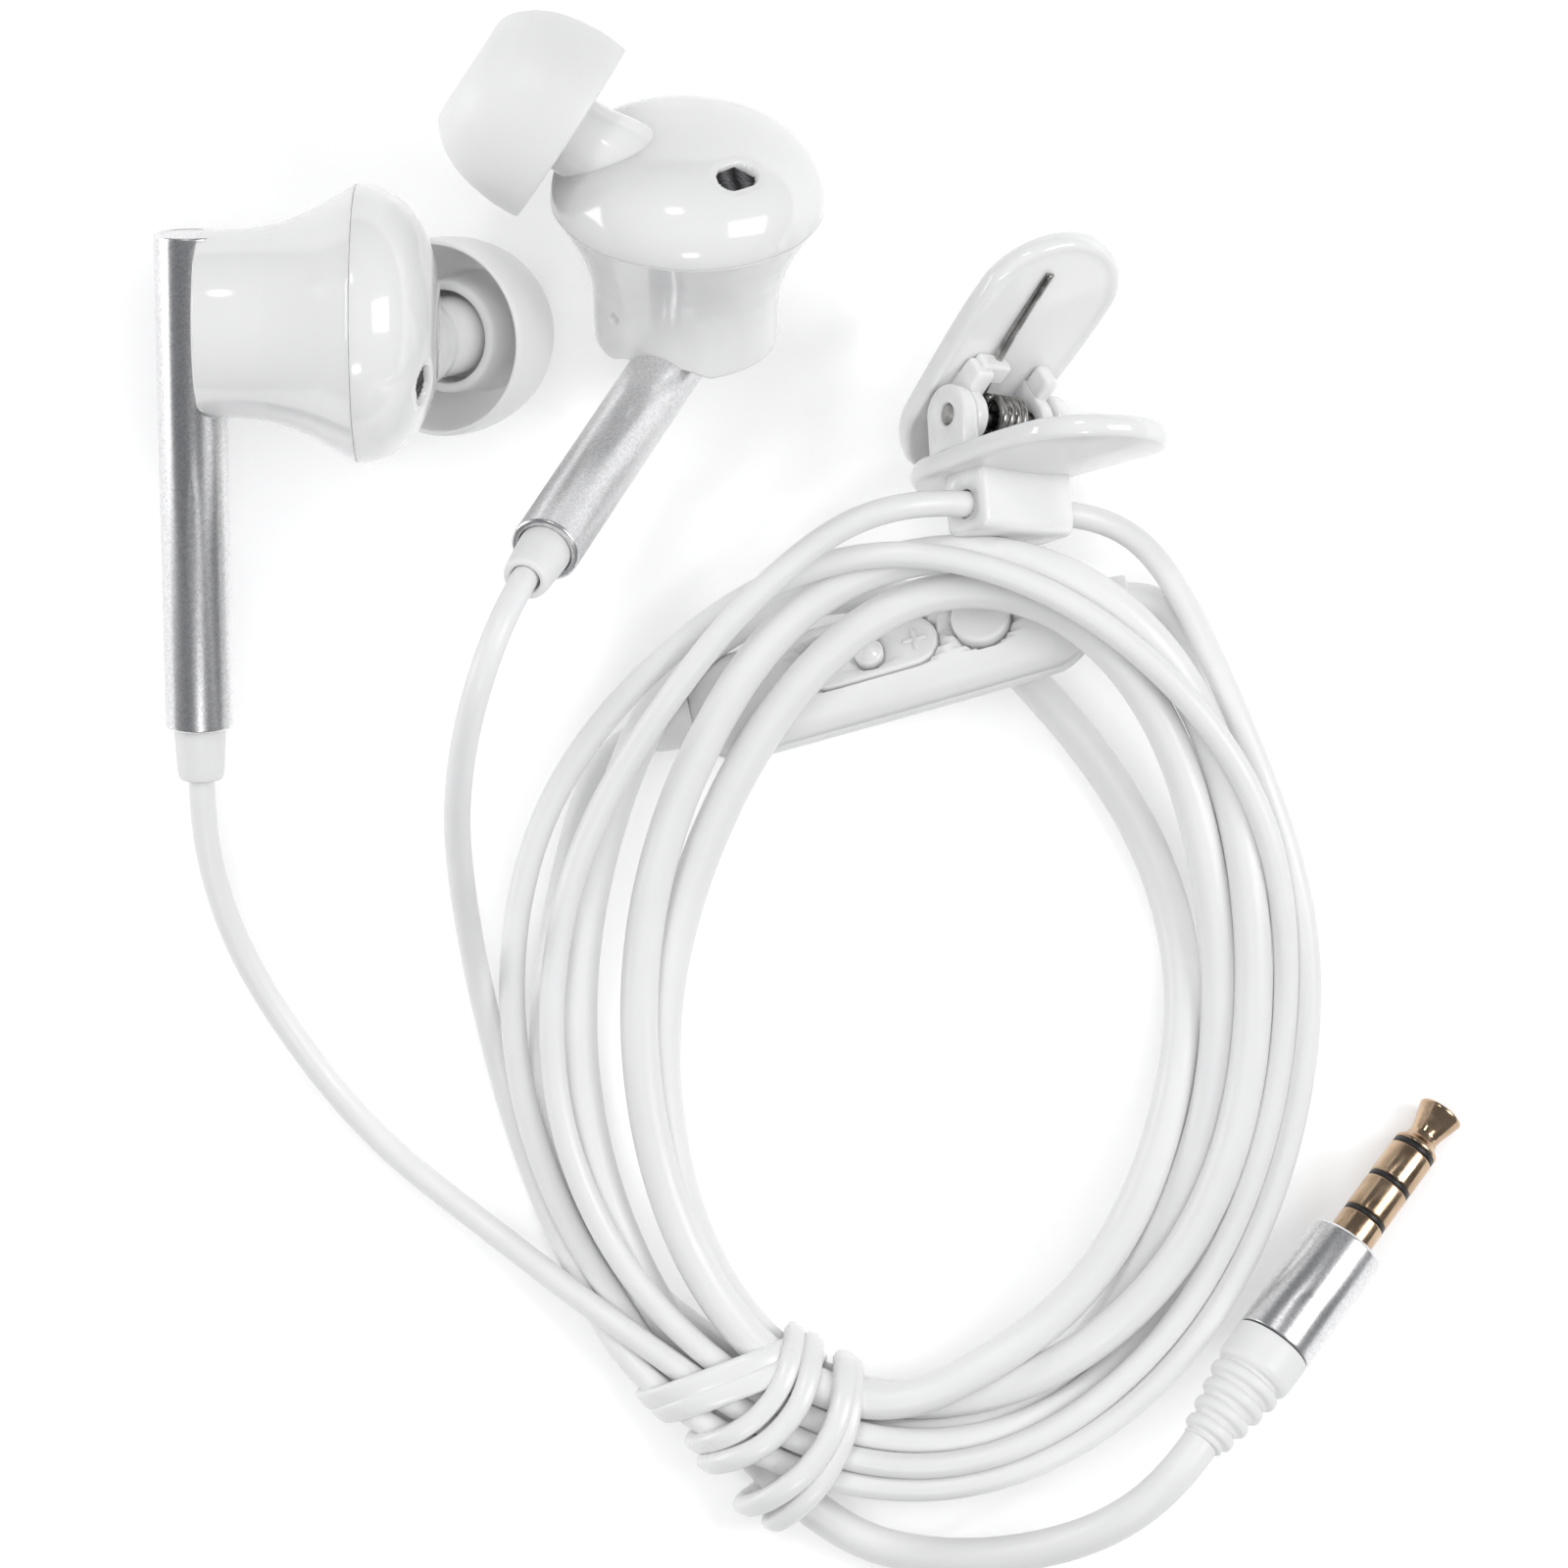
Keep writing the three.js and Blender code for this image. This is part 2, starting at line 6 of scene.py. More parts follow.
import bmesh
import bpy
import numpy as np
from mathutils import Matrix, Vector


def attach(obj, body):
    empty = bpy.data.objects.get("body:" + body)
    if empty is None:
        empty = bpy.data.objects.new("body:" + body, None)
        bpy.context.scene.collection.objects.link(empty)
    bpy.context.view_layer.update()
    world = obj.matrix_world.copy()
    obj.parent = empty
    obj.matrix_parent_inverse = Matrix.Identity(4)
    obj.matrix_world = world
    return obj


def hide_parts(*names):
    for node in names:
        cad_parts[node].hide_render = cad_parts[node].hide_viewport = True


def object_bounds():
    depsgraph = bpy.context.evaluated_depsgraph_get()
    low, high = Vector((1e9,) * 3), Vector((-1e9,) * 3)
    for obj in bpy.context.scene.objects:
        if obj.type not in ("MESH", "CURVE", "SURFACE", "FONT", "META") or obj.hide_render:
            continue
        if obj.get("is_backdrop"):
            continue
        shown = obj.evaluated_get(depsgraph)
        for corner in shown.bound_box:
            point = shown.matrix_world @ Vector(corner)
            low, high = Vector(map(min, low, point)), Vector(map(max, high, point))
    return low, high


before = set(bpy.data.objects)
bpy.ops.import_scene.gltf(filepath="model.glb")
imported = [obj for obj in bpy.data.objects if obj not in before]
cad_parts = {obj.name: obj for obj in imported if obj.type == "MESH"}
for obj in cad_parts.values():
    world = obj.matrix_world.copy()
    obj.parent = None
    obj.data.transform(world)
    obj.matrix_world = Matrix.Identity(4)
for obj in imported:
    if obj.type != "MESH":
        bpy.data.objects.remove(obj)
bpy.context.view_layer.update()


# -------- camera, light and table
# The set is looked at straight down with a long lens. A broad overhead box gives the soft
# shading, small boxes give the bright windows in the polished plastic, and the table is white.

SENSOR, SEEN_WIDTH, LENS_DISTANCE = 36.0, 114.3, 450.0  # mm; the last two are at the focus
FOCUS = np.array([20.87, -27.68, 8.0])  # the middle of what is seen, mm in the part's frame


def placed(name, data):
    """A new object with that data, linked into the scene."""
    thing = bpy.data.objects.new(name, data)
    bpy.context.scene.collection.objects.link(thing)
    return thing


def softbox(name, place, target, width, height, watts):
    """A rectangular lamp of the given sides at place, with its -Z axis towards target, all in
    millimetres. The camera doesn't see the lamp itself."""
    lamp = bpy.data.lights.new(name, "AREA")
    lamp.shape, lamp.size, lamp.size_y = "RECTANGLE", width / 1000, height / 1000
    lamp.energy = watts
    lit = placed(name, lamp)
    lit.location = np.asarray(place, float) / 1000
    lit.rotation_euler = Vector(np.subtract(target, place)).to_track_quat("-Z", "Y").to_euler()
    lit.visible_camera = False
    return lit


def finish_of(name, colour, roughness, **sockets):
    """A Principled material with that base colour and roughness, and any other sockets by name."""
    material = bpy.data.materials.new(name)
    material.use_nodes = True
    surface = material.node_tree.nodes["Principled BSDF"]
    surface.inputs["Base Color"].default_value = (*colour, 1.0)
    surface.inputs["Roughness"].default_value = roughness
    for socket, value in sockets.items():
        surface.inputs[socket.replace("_", " ")].default_value = value
    return material


lens = bpy.data.cameras.new("overhead_camera")
lens.sensor_width, lens.lens = SENSOR, SENSOR * LENS_DISTANCE / SEEN_WIDTH
lens.clip_start, lens.clip_end = 0.02, 10.0
camera = placed("overhead_camera", lens)
camera.location = (FOCUS + [0, 0, LENS_DISTANCE]) / 1000
bpy.context.scene.camera = camera
bpy.context.scene.view_settings.view_transform = "Standard"

overhead = softbox("overhead_fill", (-40, 20, 700), (20, -28, 0), 620, 620, 2.38)
overhead.visible_glossy = False
softbox("right_box", (470, 40, 430), (20, -20, 8), 260, 340, 1.5)
softbox("left_box", (-520, 60, 110), (0, -10, 8), 300, 200, 0.8)
softbox("window_box", (-60, 330, 520), (0, 0, 14), 85, 70, 0.35)
softbox("low_window_box", (40, -360, 430), (0, 0, 14), 110, 50, 0.3)

surroundings = bpy.data.worlds.new("pale_room")
surroundings.use_nodes = True
sky = surroundings.node_tree.nodes["Background"].inputs
sky["Color"].default_value, sky["Strength"].default_value = (0.93, 0.95, 1.0, 1.0), 0.2
bpy.context.scene.world = surroundings

sheet = bpy.data.meshes.new("table")
sheet.from_pydata([(-3, -3, 0), (3, -3, 0), (3, 3, 0), (-3, 3, 0)], [], [(0, 1, 2, 3)])
sheet.materials.append(finish_of("white_table", (0.9, 0.9, 0.9), 0.9, Specular_IOR_Level=0.0,
                                 Emission_Color=(1, 1, 1, 1), Emission_Strength=0.24))
placed("table", sheet)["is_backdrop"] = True



# -------- cords
# Two thin ear cords and one thicker main cord, each a copper core in a smooth white elastomer
# skin. They are wound round together, cross over and under the remote, and are gathered by the tie.

BENCH = np.array([-0.92, 0.53, 0.0])  # from the layout's zero to the part's origin, mm
EAR_CORD, MAIN_CORD = 1.9, 2.8  # diameters, mm
RING_CENTRE, RING_SEMI = np.array([30.9, -45.5]), np.array([24.6, 32.4])  # the coil's ellipse, mm

left_free_route = [
    [-20.5, -26.4, 10.3], [-20.5, -28.1, 9.9], [-20.4, -31.7, 9], [-19.6, -36, 7.4],
    [-17.8, -41, 5.2], [-14.8, -46.2, 3], [-11, -51.4, 1.5], [-6.4, -56.2, 1.05],
    [-1.4, -60.2, 1.05]]
right_free_route = [
    [4.5, -12.9, 31], [3.8, -14.2, 32.7], [3, -15.7, 34.6], [1.9, -18.3, 35.8], [0.7, -21.8, 35],
    [-0.4, -25.8, 31.6], [-1.1, -29.8, 26], [-1.3, -33.8, 19], [-1.1, -38, 12], [-0.6, -42.4, 6.4],
    [0.2, -46.8, 2.9]]
clip_route = [
    [53.6, -21.2, 11.6], [52, -17.2, 10.4], [50, -13.4, 9], [47.6, -10, 8.3], [44.23, -8.68, 8.7],
    [41.39, -8.53, 10], [38.1, -8.27, 12.6], [34.8, -8.12, 15.2], [32.7, -8.05, 16.8],
    [29.78, -8.34, 18], [25.34, -9.93, 17.8], [21.5, -12.4, 17], [17.6, -15.4, 16.3]]
remote_right_route = [
    [55.4, -40.6, 2.1], [55.3, -39.2, 2.2], [54.6, -33, 3.8], [53.2, -26, 5.6], [52, -20, 6.5],
    [50.9, -16.2, 6.7], [49.2, -14.5, 7.2], [47.5, -14.35, 7.3]]
remote_left_route = [
    [11.7, -24.45, 3.85], [9.5, -25.5, 3.3], [7.6, -28.4, 2.9], [6.4, -32.2, 2.9],
    [5.4, -36.4, 3.2], [4.4, -41.5, 3.6]]
plug_route = [
    [24.6, -83.8, 1.8], [27.6, -84.4, 2.1], [31.8, -85, 3.4], [36.2, -84.9, 5.6], [40.6, -84, 8.2],
    [44.6, -82.5, 10.6], [47.9, -80.4, 12], [50.3, -78.1, 12], [51.8, -76.1, 11.3],
    [52.7, -74.9, 10.9]]

# Along the winding: angle round the ring in degrees, distance outside its middle line, height.
left_turns = [
    [205, 7.2, 1.5], [212, 4.8, 3.6], [219, 2.5, 6.2], [233, 0.8, 7.6], [243, 0.5, 7.5],
    [258, 0.6, 7], [280, 1.6, 6.6], [310, 2, 7.2], [335, 2.6, 8.6], [366, 3.3, 10.6],
    [387, 3.4, 12.4], [405, 3.2, 13.6], [420, 2.8, 14.6], [435, 2.3, 15.4], [450, 2.8, 15.2],
    [476, 2.9, 13.6], [494, 3.2, 11.8], [506, 4.6, 10.2], [518, 5.6, 8.6], [536, 5.2, 6.6],
    [550, 4.6, 5.2], [570, 3.4, 4.6], [590, 2.6, 5], [603, 1.8, 5.6], [620, 2, 5], [650, 2.6, 4.4],
    [680, 2.8, 4], [697, 2, 3]]
right_turns = [
    [189, 5.6, 1.6], [201, 4.6, 2], [211, 3.8, 3.4], [225, 3.2, 5.8], [243, 2.8, 6.6],
    [260, 3, 6.2], [285, 3.2, 6.2], [310, 3.5, 7], [335, 3.8, 8.4], [360, 4.4, 10],
    [378, 4.8, 11.2]]
right_turns_after_clip = [
    [487, 0.8, 15], [496, 0.2, 13.8], [504, 0.9, 12.4], [511, 1.5, 11.2], [520, 2, 10],
    [530, 2.1, 9], [540, 2.1, 8.2], [549, 2.4, 7.4], [560, 2, 6.8], [572, 1.2, 6.6],
    [581, 0.6, 6.8], [603, -0.9, 7.2], [620, -0.4, 6.8], [645, 0.6, 6], [670, 1, 5], [690, 0.6, 4]]
main_turns = [
    [181, 2.6, 3.8], [190, 3.2, 3.4], [203, 3, 3], [217, 1.8, 3.2], [230, 0.6, 3.6],
    [243, -0.3, 3.8], [258, -0.6, 3.9], [280, -1.2, 4.4], [306, -1.9, 5.4], [331, -1.7, 7.2],
    [349, -1.3, 8.8], [366, -0.9, 9.8], [376, -0.4, 10.6], [387, 0.8, 11.4], [399, 1.8, 12.4],
    [410, 2.4, 12.9], [423, 2.9, 13.2], [431, 2.3, 12.9], [447, 0.6, 12.4], [460, -2.1, 11.4],
    [479, -5, 9.9], [494, -6.3, 8.6], [510, -6.9, 7.4], [525, -6.3, 6.6], [540, -5.8, 5.8],
    [552, -5.4, 5.2], [568, -4.8, 4.6], [585, -3.8, 4.2], [603, -2.9, 3.9], [620, -2.2, 4],
    [641, -2.4, 4.6], [666, -1.9, 6], [691, -0.4, 8], [720, 1.2, 10.4], [747, 2.6, 12.2],
    [765, 3, 13.2], [780, 3.8, 14], [804, 3.2, 14.2], [819, 2.1, 13.8], [834, 0.2, 12.6],
    [848, -2.6, 11.2], [862, -3.3, 10.2], [874, -3.8, 9.4], [886, -4.1, 8.8], [898, -4.3, 8.4],
    [911, -4.3, 7.8], [928, -4, 7.2], [945, -3.4, 6.9], [963, -2.3, 6.8], [980, -1.8, 6.6],
    [1001, -3.3, 6], [1026, -4.7, 6.2], [1051, -4.3, 7.2], [1070, -3.8, 8], [1086, -3.3, 8],
    [1095, -3.6, 7], [1106, -3.8, 5.6], [1120, -4.4, 4], [1134, -4.6, 2.4], [1143, -4.4, 1.7],
    [1153, -3.2, 1.45], [1163, -1.4, 1.45], [1172, 0.2, 1.5], [1182, 1.2, 1.8], [1195, 1.8, 3],
    [1207, 2, 5], [1217, 1.7, 6.6], [1226, 0.9, 7.2], [1235, 0.4, 7], [1246, 0.3, 6.4],
    [1260, 0.2, 5.8], [1272, 0.3, 5.2], [1286, 0.4, 4.8], [1298, 0.8, 4.4], [1312, 1.8, 4],
    [1323, 3.2, 3.7], [1331, 4.6, 2.9]]


def metres(points):
    """Layout millimetres to metres in the part's frame: add the bench offset, divide by 1000."""
    return (np.asarray(points, float) + BENCH) / 1000


def on_ring(turns):
    """Points of a winding: the ring's ellipse with its half axes longer by the offset, at the
    height."""
    angle, out, up = np.array(turns, float).T
    circle = np.stack([np.cos(np.radians(angle)), np.sin(np.radians(angle))], 1)
    flat = RING_CENTRE + (RING_SEMI + out[:, None]) * circle
    return np.column_stack([flat, up])


def smooth_line(points, step):
    """A centripetal Catmull-Rom curve through the points, cut into equal steps of about step mm."""
    points = np.asarray(points, float)
    ends = np.vstack([2 * points[0] - points[1], points, 2 * points[-1] - points[-2]])
    knots = np.concatenate([[0], np.cumsum(np.linalg.norm(np.diff(ends, axis=0), axis=1) ** 0.5)])
    fine = np.linspace(knots[1], knots[-2], 24 * len(points))
    i = np.clip(np.searchsorted(knots, fine, side="right") - 1, 1, len(points) - 1)
    k = [knots[i + n][:, None] for n in (-1, 0, 1, 2)]
    p = [ends[i + n] for n in (-1, 0, 1, 2)]
    t = fine[:, None]
    a = [((k[n + 1] - t) * p[n] + (t - k[n]) * p[n + 1]) / (k[n + 1] - k[n]) for n in range(3)]
    b = [((k[n + 2] - t) * a[n] + (t - k[n]) * a[n + 1]) / (k[n + 2] - k[n]) for n in range(2)]
    curve = ((k[2] - t) * b[0] + (t - k[1]) * b[1]) / (k[2] - k[1])
    length = np.concatenate([[0], np.cumsum(np.linalg.norm(np.diff(curve, axis=0), axis=1))])
    even = np.linspace(0, length[-1], max(2, int(round(length[-1] / step)) + 1))
    return np.column_stack([np.interp(even, length, axis) for axis in curve.T])


def near_to(points, route, reach):
    """True for points that lie within reach of a route's polyline, tested on 0.5 mm samples."""
    samples = smooth_line(route, 0.5)
    return np.min(np.linalg.norm(points[:, None] - samples[None], axis=2), axis=1) < reach


def settled(cords, held, radii, blocks, rounds=260):
    """Lets the cords settle round each other: every round pulls each bead towards its drawn place,
    straightens its bends a little, restores its spacing, then parts beads that touch and lifts
    them off the blocks, which are (centres, radius) of balls, and the table. Held beads stay."""
    nearby, neighbours = 1.2, 7  # which pairs are tested: mm between skins, beads along a cord
    stiffness, clearance, eagerness = 0.25, 0.02, 1.6
    beads = np.vstack(cords)
    count = [len(c) for c in cords]
    cord = np.repeat(np.arange(len(cords)), count)
    radius = np.repeat(radii, count)
    firm = np.concatenate(held)
    goal, spacing = beads.copy(), np.linalg.norm(np.diff(beads, axis=0), axis=1)
    joined = cord[1:] == cord[:-1]
    free = np.where(firm, 0.0, 1.0)
    middle = np.flatnonzero(joined[1:] & joined[:-1]) + 1
    index = np.arange(len(beads))
    for step in range(rounds):
        if step % 6 == 0:
            gap = np.linalg.norm(beads[:, None] - beads[None], axis=2)
            close = gap < radius[:, None] + radius[None] + nearby
            apart = (cord[:, None] != cord[None]) | (np.abs(index[:, None] - index) > neighbours)
            one, two = np.nonzero(np.triu(close & apart, 1))
        pull = 0.02 if step < rounds * 0.6 else 0.004
        beads += (goal - beads) * (pull * free[:, None])
        bend = (beads[middle - 1] + beads[middle + 1]) / 2 - beads[middle]
        beads[middle] += stiffness * bend * free[middle, None]
        for odd in (0, 1):
            link = np.flatnonzero(joined)[odd::2]
            way = beads[link + 1] - beads[link]
            long = np.linalg.norm(way, axis=1)
            share = free[link] + free[link + 1] + 1e-9
            push = 0.5 * way * ((long - spacing[link]) / long / share)[:, None]
            beads[link] += push * free[link, None]
            beads[link + 1] -= push * free[link + 1, None]
        for _ in range(2):
            way = beads[two] - beads[one]
            far = np.linalg.norm(way, axis=1) + 1e-9
            share = free[one] + free[two] + 1e-9
            lack = np.clip(radius[one] + radius[two] + clearance - far, 0, None)
            push = way * (0.5 * lack / far / share)[:, None]
            move = np.zeros_like(beads)
            hits = np.ones(len(beads))
            np.add.at(move, one, -push * free[one, None])
            np.add.at(move, two, push * free[two, None])
            np.add.at(hits, one, (lack > 0) * 0.35)
            np.add.at(hits, two, (lack > 0) * 0.35)
            beads += eagerness * move / hits[:, None]
            for centre, size in blocks:
                away = beads[:, None] - centre[None]
                far = np.linalg.norm(away, axis=2) + 1e-9
                lack = np.clip(size + radius[:, None] - far, 0, None)
                worst = np.argmax(lack, axis=1)
                beads += (away[index, worst] * (lack[index, worst] / far[index, worst])[:, None]
                          * free[:, None])
            beads[:, 2] = np.maximum(beads[:, 2], radius + clearance)
    return np.split(beads, np.cumsum(count)[:-1])


def eased(line, rounds=6):
    """Takes the last kinks out of a line: each round moves every inner point a quarter of the way
    to the mean of its neighbours."""
    line = line.copy()
    for _ in range(rounds):
        line[1:-1] += 0.25 * (line[:-2] + line[2:] - 2 * line[1:-1])
    return line


left_drawn = np.vstack([left_free_route, on_ring(left_turns),
                        [[54.9, -53.4, 2.2], [54.5, -51.4, 2.1]]])
right_drawn = np.vstack([right_free_route, on_ring(right_turns), clip_route,
                         on_ring(right_turns_after_clip), [[56.6, -53.6, 2.2], [56.3, -51.4, 2.1]]])
remote_inside = [
    [44.6, -15.2, 7], [37, -17.3, 6.3], [29.6, -19.4, 5.6], [22, -21.5, 4.9], [14.6, -23.6, 4.2]]
main_drawn = np.vstack([remote_right_route, remote_inside, remote_left_route, on_ring(main_turns),
                        plug_route])
drawn = [smooth_line(line, 1.4) for line in (left_drawn, right_drawn, main_drawn)]
held = [near_to(drawn[0], left_free_route[:-1], 0.4),
        near_to(drawn[1], right_free_route[:-1], 0.4) | near_to(drawn[1], clip_route[1:-2], 0.4),
        near_to(drawn[2], remote_right_route[:-3], 0.4) | near_to(drawn[2], plug_route[1:], 0.4)
        | near_to(drawn[2], remote_right_route[-4:] + remote_inside + remote_left_route[:3], 0.4)]
for line in held:
    line[:2] = line[-2:] = True

# What the cords rest on and go round: the remote and the clip's cord holder, as rows of balls.
remote_x, remote_y = np.array([0.958, 0.27, 0.092]), np.array([-0.185, 0.834, -0.52])
along, across = np.meshgrid(np.linspace(-12.2, 12.2, 17), [-1.6, 0.0, 1.6])
remote_balls = (np.array([29.6, -19.4, 5.6]) + along.reshape(-1, 1) * remote_x
                + across.reshape(-1, 1) * remote_y)
holder_balls = (np.array([38.0, -7.9, 12.4])
                + np.linspace(-3, 3, 5)[:, None] * [-0.785, 0.054, 0.616])
radii = [EAR_CORD / 2, EAR_CORD / 2, MAIN_CORD / 2]
left_line, right_line, main_line = settled(drawn, held, radii,
                                           [(remote_balls, 2.75), (holder_balls, 2.2)])


def node_in(material, kind, **inputs):
    """A new shader node. Each input, by name, takes a value, or an output that is linked to it."""
    node = material.node_tree.nodes.new("ShaderNode" + kind)
    for name, value in inputs.items():
        socket = node.inputs[name.replace("_", " ")]
        if isinstance(value, bpy.types.NodeSocket):
            material.node_tree.links.new(value, socket)
        else:
            socket.default_value = value
    return node


def onto(material, output, socket):
    """Links an output to a socket of the material's own shader."""
    surface = material.node_tree.nodes["Principled BSDF"]
    material.node_tree.links.new(output, surface.inputs[socket])


def noise_in(material, scale, detail):
    """Noise on Object coordinates at that scale."""
    place = node_in(material, "TexCoord").outputs["Object"]
    return node_in(material, "TexNoise", Vector=place, Scale=scale, Detail=detail).outputs["Fac"]


def ramp_in(material, value, stops):
    """A colour ramp on a value. The stops are two pairs of a position and a colour."""
    ramp = node_in(material, "ValToRGB", Fac=value)
    for element, (position, colour) in zip(ramp.color_ramp.elements, stops):
        element.position, element.color = position, (*colour, 1)
    return ramp.outputs["Color"]


def grain(material, scale, strength, distance, detail=3.0):
    """Fine relief: noise through a Bump node."""
    noise = noise_in(material, scale, detail)
    bump = node_in(material, "Bump", Height=noise, Strength=strength, Distance=distance)
    onto(material, bump.outputs["Normal"], "Normal")


def blended(material, socket, scale, low, high, detail=2.0):
    """Varies a socket between two values: broad noise through a colour ramp for a colour, or
    through a Map Range node for a number."""
    noise = noise_in(material, scale, detail)
    if isinstance(low, tuple):
        onto(material, ramp_in(material, noise, [(0.35, low), (0.65, high)]), socket)
    else:
        spread = node_in(material, "MapRange", Value=noise, From_Min=0.3, From_Max=0.7,
                         To_Min=low, To_Max=high)
        onto(material, spread.outputs["Result"], socket)


cord_skin = finish_of("cord_skin", (0.83, 0.83, 0.825), 0.36, Subsurface_Weight=0.12,
                      Subsurface_Radius=(1, 1, 1), Subsurface_Scale=0.0012, Coat_Weight=0.15,
                      Coat_Roughness=0.3)
blended(cord_skin, "Base Color", 90, (0.815, 0.815, 0.81), (0.845, 0.845, 0.842))
blended(cord_skin, "Roughness", 400, 0.3, 0.44)
grain(cord_skin, 2600, 0.12, 0.00003)


def laid_cord(name, line, diameter, *nodes):
    """A round cord: a poly spline through the line's points, with half the diameter as bevel.
    Gives the cord, its points and its length in metres."""
    curve = bpy.data.curves.new(name, "CURVE")
    curve.dimensions, curve.bevel_depth, curve.bevel_resolution = "3D", diameter / 2000.0, 6
    curve.use_fill_caps = True
    places = metres(smooth_line(eased(line), 0.8))
    spline = curve.splines.new("POLY")
    spline.points.add(len(places) - 1)
    spline.points.foreach_set("co", np.column_stack([places, np.ones(len(places))]).ravel())
    curve.materials.append(cord_skin)
    cord = placed(name, curve)
    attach(cord, "earphones")
    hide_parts(*nodes)
    long = np.linalg.norm(np.diff(places, axis=0), axis=1).sum()
    return cord, places, round(float(long), 3)


left_laid = laid_cord("left_cord", left_line, EAR_CORD, "left_ear_cord")
right_laid = laid_cord("right_cord", right_line, EAR_CORD, "right_ear_cord", "clip_cord")
main_laid = laid_cord("main_cord", main_line, MAIN_CORD, "cord_coil", "plug_lead",
                      "remote_left_lead", "remote_right_lead")
print("cord lengths", left_laid[2], right_laid[2], main_laid[2])


# -------- cord tie
# A white plastic-covered wire tie wound round the bundle of cords: one loose loop, a second band
# beside it, and flat crossing wraps between them, pulled snug to the cords.


def on_table(place, x_axis, y_axis):
    """A piece's own frame: unit X, Y squared up to X, and Z = X cross Y, as the rows of a matrix."""
    x = np.asarray(x_axis, float) / np.linalg.norm(x_axis)
    z = np.cross(x, y_axis)
    z /= np.linalg.norm(z)
    return np.asarray(place, float), np.stack([x, np.cross(z, x), z])


def stood(points, stand):
    """Points of a piece's own frame in the layout: each times the frame's axes, plus its place."""
    place, axes = stand
    return np.asarray(points, float) @ axes + place


def looped(rows):
    """Rows of points with the first repeated after the last, so that they close."""
    return np.concatenate([rows, rows[:1]])


def made_piece(name, grids, material, slot, *nodes, body="earphones"):
    """One object from grids of points in layout millimetres, in place of the CAD nodes named. Each
    row of a grid closes on itself; doubles are merged and the faces turned outwards."""
    corners, faces, start = [], [], 0
    for points in grids:
        rows, columns = points.shape[:2]
        i, j = np.arange(rows - 1)[:, None] * columns, np.arange(columns)
        over = (j + 1) % columns
        quads = np.stack([i + j, i + over, i + columns + over, i + columns + j], -1)
        faces.append(quads.reshape(-1, 4) + start)
        corners.append(points.reshape(-1, 3))
        start += rows * columns
    corners, faces = metres(np.vstack(corners)), np.vstack(faces)
    mesh = bpy.data.meshes.new(name)
    mesh.vertices.add(len(corners))
    mesh.vertices.foreach_set("co", corners.ravel())
    mesh.loops.add(faces.size)
    mesh.loops.foreach_set("vertex_index", faces.ravel())
    mesh.polygons.add(len(faces))
    mesh.polygons.foreach_set("loop_start", np.arange(0, faces.size, 4))
    mesh.update(calc_edges=True)
    tidy = bmesh.new()
    tidy.from_mesh(mesh)
    bmesh.ops.remove_doubles(tidy, verts=tidy.verts, dist=2e-6)
    bmesh.ops.dissolve_degenerate(tidy, edges=tidy.edges, dist=1e-7)
    bmesh.ops.recalc_face_normals(tidy, faces=tidy.faces)
    tidy.to_mesh(mesh)
    tidy.free()
    mesh.polygons.foreach_set("use_smooth", np.full(len(mesh.polygons), True))
    mesh.materials.append(material)
    piece = placed(name, mesh)
    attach(piece, body)
    if nodes:
        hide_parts(*nodes)
    return piece


def carried(path, section, turn_to=(0, 0, 1)):
    """A closed section carried along a path: at each point the section's two axes are the side
    (tangent cross turn_to) and the upright (side cross tangent). Ends close on their middle."""
    path, section = np.asarray(path, float), np.asarray(section, float)
    tangent = np.gradient(path, axis=0)
    tangent /= np.linalg.norm(tangent, axis=1)[:, None]
    upright = np.broadcast_to(np.asarray(turn_to, float), path.shape)
    side = np.cross(tangent, upright)
    side /= np.linalg.norm(side, axis=1)[:, None]
    upright = np.cross(side, tangent)
    skin = path[:, None] + section[:, :1] * side[:, None] + section[:, 1:] * upright[:, None]
    ends = np.repeat(path[[0, -1], None], len(section), 1)
    return np.concatenate([ends[:1], skin, ends[1:]])


def ring_section(wide, high, sides=14, square=2.6):
    """A rounded section: the superellipse |x/a|^n + |y/b|^n = 1 with half sides a, b."""
    turn = np.linspace(0, 2 * np.pi, sides, endpoint=False)
    c, s = np.cos(turn), np.sin(turn)
    return np.column_stack([wide / 2 * np.sign(c) * np.abs(c) ** (2 / square),
                            high / 2 * np.sign(s) * np.abs(s) ** (2 / square)])


def bundle_frame(angle):
    """Where the bundle runs at an angle round the ring: its middle, and its across and ahead axes."""
    turn = np.radians(angle)
    middle = np.array([*(RING_CENTRE + RING_SEMI * [np.cos(turn), np.sin(turn)]), 5.2])
    ahead = np.array([-RING_SEMI[0] * np.sin(turn), RING_SEMI[1] * np.cos(turn), 0.0])
    ahead /= np.linalg.norm(ahead)
    return middle, np.array([ahead[1], -ahead[0], 0.0]), ahead


beads = np.vstack([left_line, right_line, main_line])
bead_size = np.repeat(radii, [len(left_line), len(right_line), len(main_line)])


